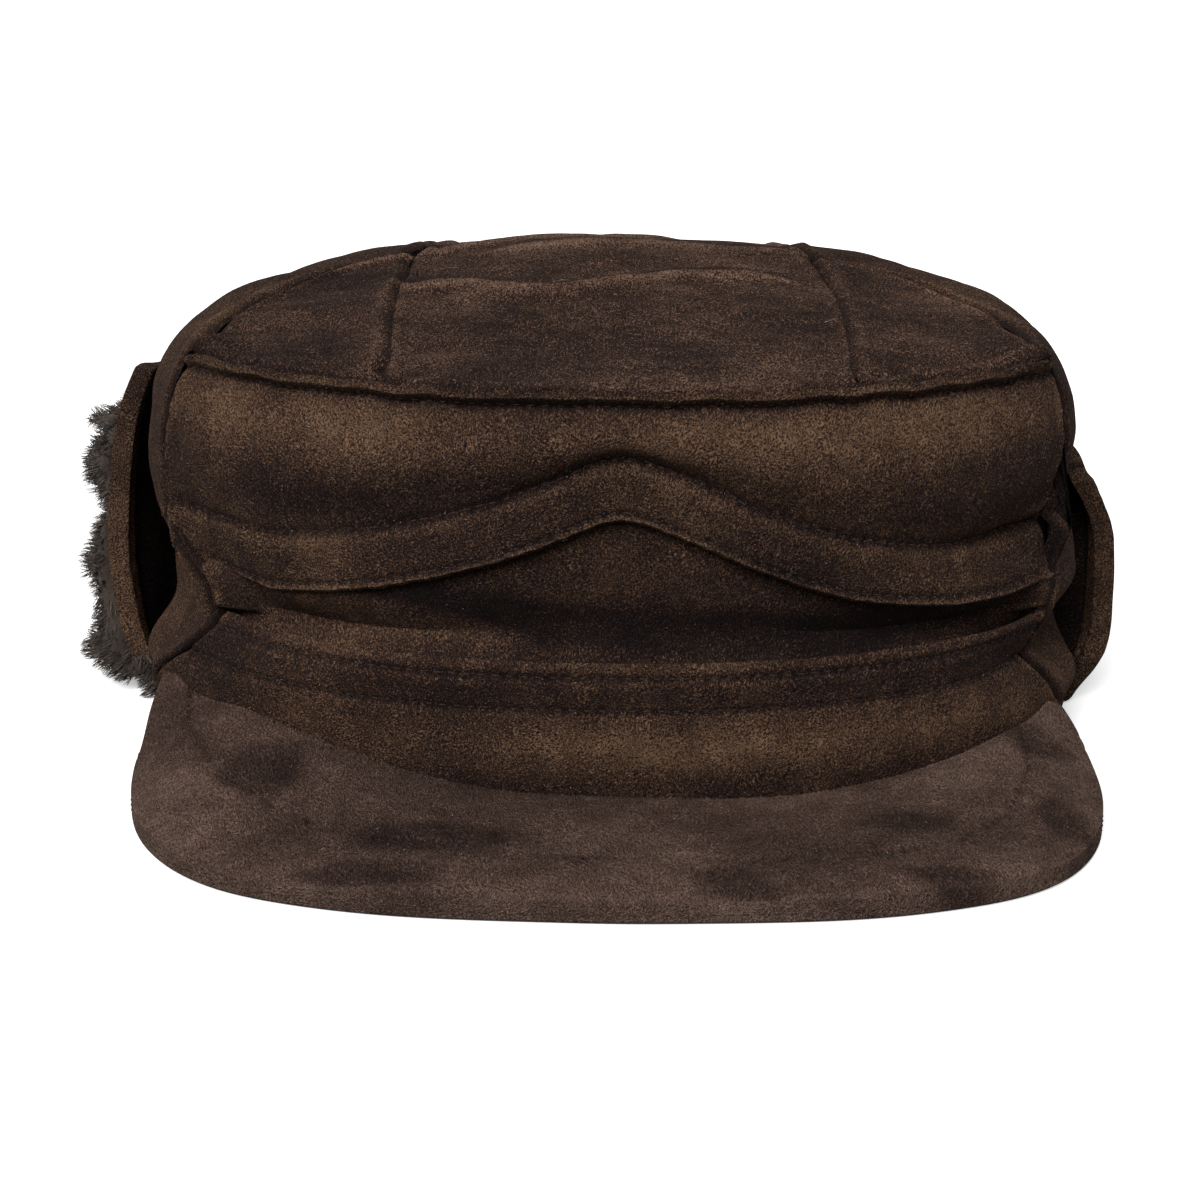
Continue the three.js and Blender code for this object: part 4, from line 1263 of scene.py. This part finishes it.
# %% The suede material
def suede(name, blotch, stops, contrast, grain):
    shader = Shader(name)
    place = shader.place()
    drift = shader.noise(place, 120.0, 1.0, output=1)
    swept = shader.node(
        "ShaderNodeVectorMath", {"operation": "MULTIPLY_ADD"}, {0: drift, 1: (0.004,) * 3, 2: place}
    )
    nap_place = shader.node("ShaderNodeMapping", {}, {"Vector": swept, "Scale": (1.0, 0.3, 0.8)})
    large = shader.noise(place, blotch, 3.0, 0.55)
    medium = shader.noise(place, 5 * blotch, 3.0, 0.6)
    streaks = shader.noise(nap_place, 2700.0, 2.0, 0.6)
    specks = shader.noise(nap_place, 4800.0, 1.0, 0.5)
    # The vertex number adds rubbed wear, dark seams, painted highlights and painted shade.
    tone_and_painted_light = shader.tone_and_painted_light()
    # Glints are painted highlights where single fibres catch the light.
    glints = shader.clamp((specks - 0.6) * 5.0)
    tone = (
        0.475
        + (large - 0.5) * contrast
        + (medium - 0.5) * (0.45 * contrast)
        + (streaks - 0.5) * (1.15 * grain)
        + (specks - 0.5) * (0.8 * grain)
        + glints * (0.25 * grain)
        + tone_and_painted_light * 0.34
    )
    colour = shader.colour(shader.clamp(tone), stops)
    relief = streaks * 0.9 + specks * 0.5 + medium * 0.6
    return shader.finish(
        colour,
        0.95,
        shader.bump(1.0, 0.0015, relief),
        **{
            "Specular IOR Level": 0.03,
            "Sheen Weight": 0.02,
            "Sheen Roughness": 0.5,
            "Sheen Tint": (0.8, 0.5, 0.35, 1.0),
        },
    )


CROWN_STOPS = (
    (0.0, (0.0042, 0.004, 0.0052)),
    (0.18, (0.0098, 0.0064, 0.0068)),
    (0.42, (0.0226, 0.0129, 0.0108)),
    (0.65, (0.056, 0.0312, 0.0205)),
    (1.0, (0.175, 0.103, 0.062)),
)
TOP_STOPS = (
    (0.0, (0.004, 0.0036, 0.0047)),
    (0.18, (0.0092, 0.0058, 0.0057)),
    (0.42, (0.0205, 0.0109, 0.0089)),
    (0.65, (0.0495, 0.0258, 0.0178)),
    (1.0, (0.18, 0.109, 0.076)),
)
PEAK_STOPS = (
    (0.0, (0.0072, 0.0055, 0.0058)),
    (0.25, (0.0195, 0.0118, 0.0104)),
    (0.6, (0.066, 0.0402, 0.0312)),
    (1.0, (0.17, 0.115, 0.09)),
)
crown_suede = suede("crown_suede", 26.0, CROWN_STOPS, 0.78, 1.45)
top_suede = suede("top_suede", 30.0, TOP_STOPS, 1.15, 1.9)
peak_suede = suede("peak_suede", 32.0, PEAK_STOPS, 0.8, 1.0)
print("suede materials ready")

# %% The smooth leather, thread, fur and lint materials
leather = Shader("smooth_leather")
place = leather.place()
grain = leather.node(
    "ShaderNodeTexVoronoi", {"feature": "DISTANCE_TO_EDGE"}, {"Vector": place, "Scale": 900.0}
)
cloudy = leather.noise(place, 60.0, 3.0)
facing_leather = leather.finish(
    leather.colour(cloudy, ((0.3, (0.012, 0.009, 0.008)), (0.7, (0.03, 0.021, 0.017)))),
    0.55 + cloudy * 0.2,
    leather.bump(0.4, 0.0004, leather.clamp(grain * 4.0)),
)
twist = Shader("brown_thread")
fibres = twist.noise(twist.place(), 2500.0, 1.0)
thread_finish = twist.finish(
    twist.colour(fibres, ((0.35, (0.012, 0.008, 0.006)), (0.75, (0.045, 0.029, 0.021)))),
    0.75,
    twist.bump(0.4, 0.0002, fibres),
    **{"Specular IOR Level": 0.08},
)
# The pelt and the hair roots are dark, as painted shade deep in the pile, and the tips are lighter.
pile = Shader("fur_pile")
place = pile.place()
patches = pile.noise(place, 110.0, 3.0)
wisps = pile.noise(place, 1800.0, 2.0)
fur_finish = pile.finish(
    pile.colour(
        pile.clamp(0.25 + (patches - 0.5) * 0.8 + (wisps - 0.5) * 0.3 + pile.tone_and_painted_light() * 0.4),
        ((0.0, (0.013, 0.0095, 0.0078)), (0.4, (0.06, 0.045, 0.036)), (1.0, (0.36, 0.285, 0.23))),
    ),
    0.8,
    pile.bump(0.5, 0.0006, wisps),
    **{"Specular IOR Level": 0.1, "Sheen Weight": 0.1, "Sheen Roughness": 0.4},
)
fluff = Shader("pale_lint")
fluff_tone = fluff.noise(fluff.place(), 700.0, 1.0)
lint_finish = fluff.finish(
    fluff.colour(fluff_tone, ((0.35, (0.1, 0.07, 0.05)), (0.7, (0.42, 0.34, 0.27)))),
    0.8,
    fluff.bump(0.2, 0.0001, fluff_tone),
    **{"Specular IOR Level": 0.1},
)
print("leather, thread, fur and lint materials ready")

# %% [markdown]
# ## Put each finish on its piece

# %% Assign materials and bodies
REPLACED = (
    (yoke, "front_yoke", crown_suede, "suede"),
    (panel, "front_panel", crown_suede, "suede"),
    (band, "band_front", crown_suede, "suede"),
    (sides[0], "side_left", crown_suede, "suede"),
    (sides[1], "side_right", crown_suede, "suede"),
    (sides[2], "crown_back", crown_suede, "suede"),
    (tops[0], "crown_top_centre", top_suede, "suede"),
    (tops[1], "crown_top_left", top_suede, "suede"),
    (tops[2], "crown_top_right", top_suede, "suede"),
    (cover, "peak_cover", peak_suede, "suede"),
    (facing, "peak_facing", facing_leather, "facing"),
    (flaps[0], "flap_left", crown_suede, "suede"),
    (flaps[1], "flap_right", crown_suede, "suede"),
    (pelts[0], "fur_left", fur_finish, "fur"),
    (pelts[1], "fur_right", fur_finish, "fur"),
)
for piece, node, finish, slot in REPLACED:
    piece.data.materials.append(finish)
    pick(piece)
    bpy.ops.object.shade_smooth()
    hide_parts(node)
    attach(piece, "root")
EXTRAS = [(thread, thread_finish, "suede")] + [(speck, lint_finish, "suede") for speck in specks]
for piece, finish, slot in EXTRAS + [(fur, fur_finish, "fur") for fur in furs]:
    piece.data.materials.append(finish)
    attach(piece, "root")
print("pieces:", len(REPLACED) + len(EXTRAS) + len(furs))

# %% [markdown]
# ## Floor, light and camera
# The cap lies on a plain pale floor under a soft sky and one wide lamp in front and above. The camera
# stands 0.6 m in front, looks 14 degrees down, and has a long lens.

# %% The stage
bpy.ops.object.select_all(action="DESELECT")
bpy.ops.mesh.primitive_plane_add(size=40)
floor = bpy.context.active_object
floor.name = "floor"
paper = Shader("pale_paper")
floor.data.materials.append(
    paper.finish(
        (0.9, 0.9, 0.9, 1.0),
        0.9,
        paper.bump(0.05, 0.0002, paper.noise(paper.place(), 900.0)),
        **{"Emission Color": (1.0, 1.0, 1.0, 1.0), "Emission Strength": 0.4},
    )
)
floor.visible_diffuse = False

# %% Sky, lamp and camera
scene = bpy.context.scene
scene.view_settings.view_transform = "Standard"
world = bpy.data.worlds.new("soft_sky")
scene.world = world
world.use_nodes = True
sky = world.node_tree
direction = sky.nodes.new("ShaderNodeTexCoord")
parts = sky.nodes.new("ShaderNodeSeparateXYZ")
fade = sky.nodes.new("ShaderNodeValToRGB")
below, above = fade.color_ramp.elements
below.position, below.color = 0.0, (0.1, 0.1, 0.11, 1)
above.position, above.color = 0.02, (1, 1, 1, 1)
sky.links.new(direction.outputs["Generated"], parts.inputs[0])
sky.links.new(parts.outputs["Z"], fade.inputs[0])
sky.links.new(fade.outputs[0], sky.nodes["Background"].inputs["Color"])
sky.nodes["Background"].inputs["Strength"].default_value = 0.55

key = bpy.data.lights.new("soft_key", "SUN")
key.angle = math.radians(30)
key.energy = 4.3
key_holder = bpy.data.objects.new("soft_key", key)
bpy.context.collection.objects.link(key_holder)
KEY_FROM = Vector((-0.3, -1.0, 0.68))
key_holder.rotation_euler = (-KEY_FROM).to_track_quat("-Z", "Y").to_euler()

CAMERA_PLACE = (-0.00688, -0.6100, 0.1782)
TILT, TURN, ROLL = (math.radians(angle) for angle in (76.0, -0.68, 0.5))
lens = bpy.data.cameras.new("camera")
lens.lens = 84
lens.sensor_width = 36
camera = bpy.data.objects.new("camera", lens)
bpy.context.collection.objects.link(camera)
camera.matrix_world = (
    Matrix.Translation(CAMERA_PLACE)
    @ Matrix.Rotation(TURN, 4, "Z")
    @ Matrix.Rotation(TILT, 4, "X")
    @ Matrix.Rotation(ROLL, 4, "Z")
)
scene.camera = camera
print("camera at", CAMERA_PLACE)
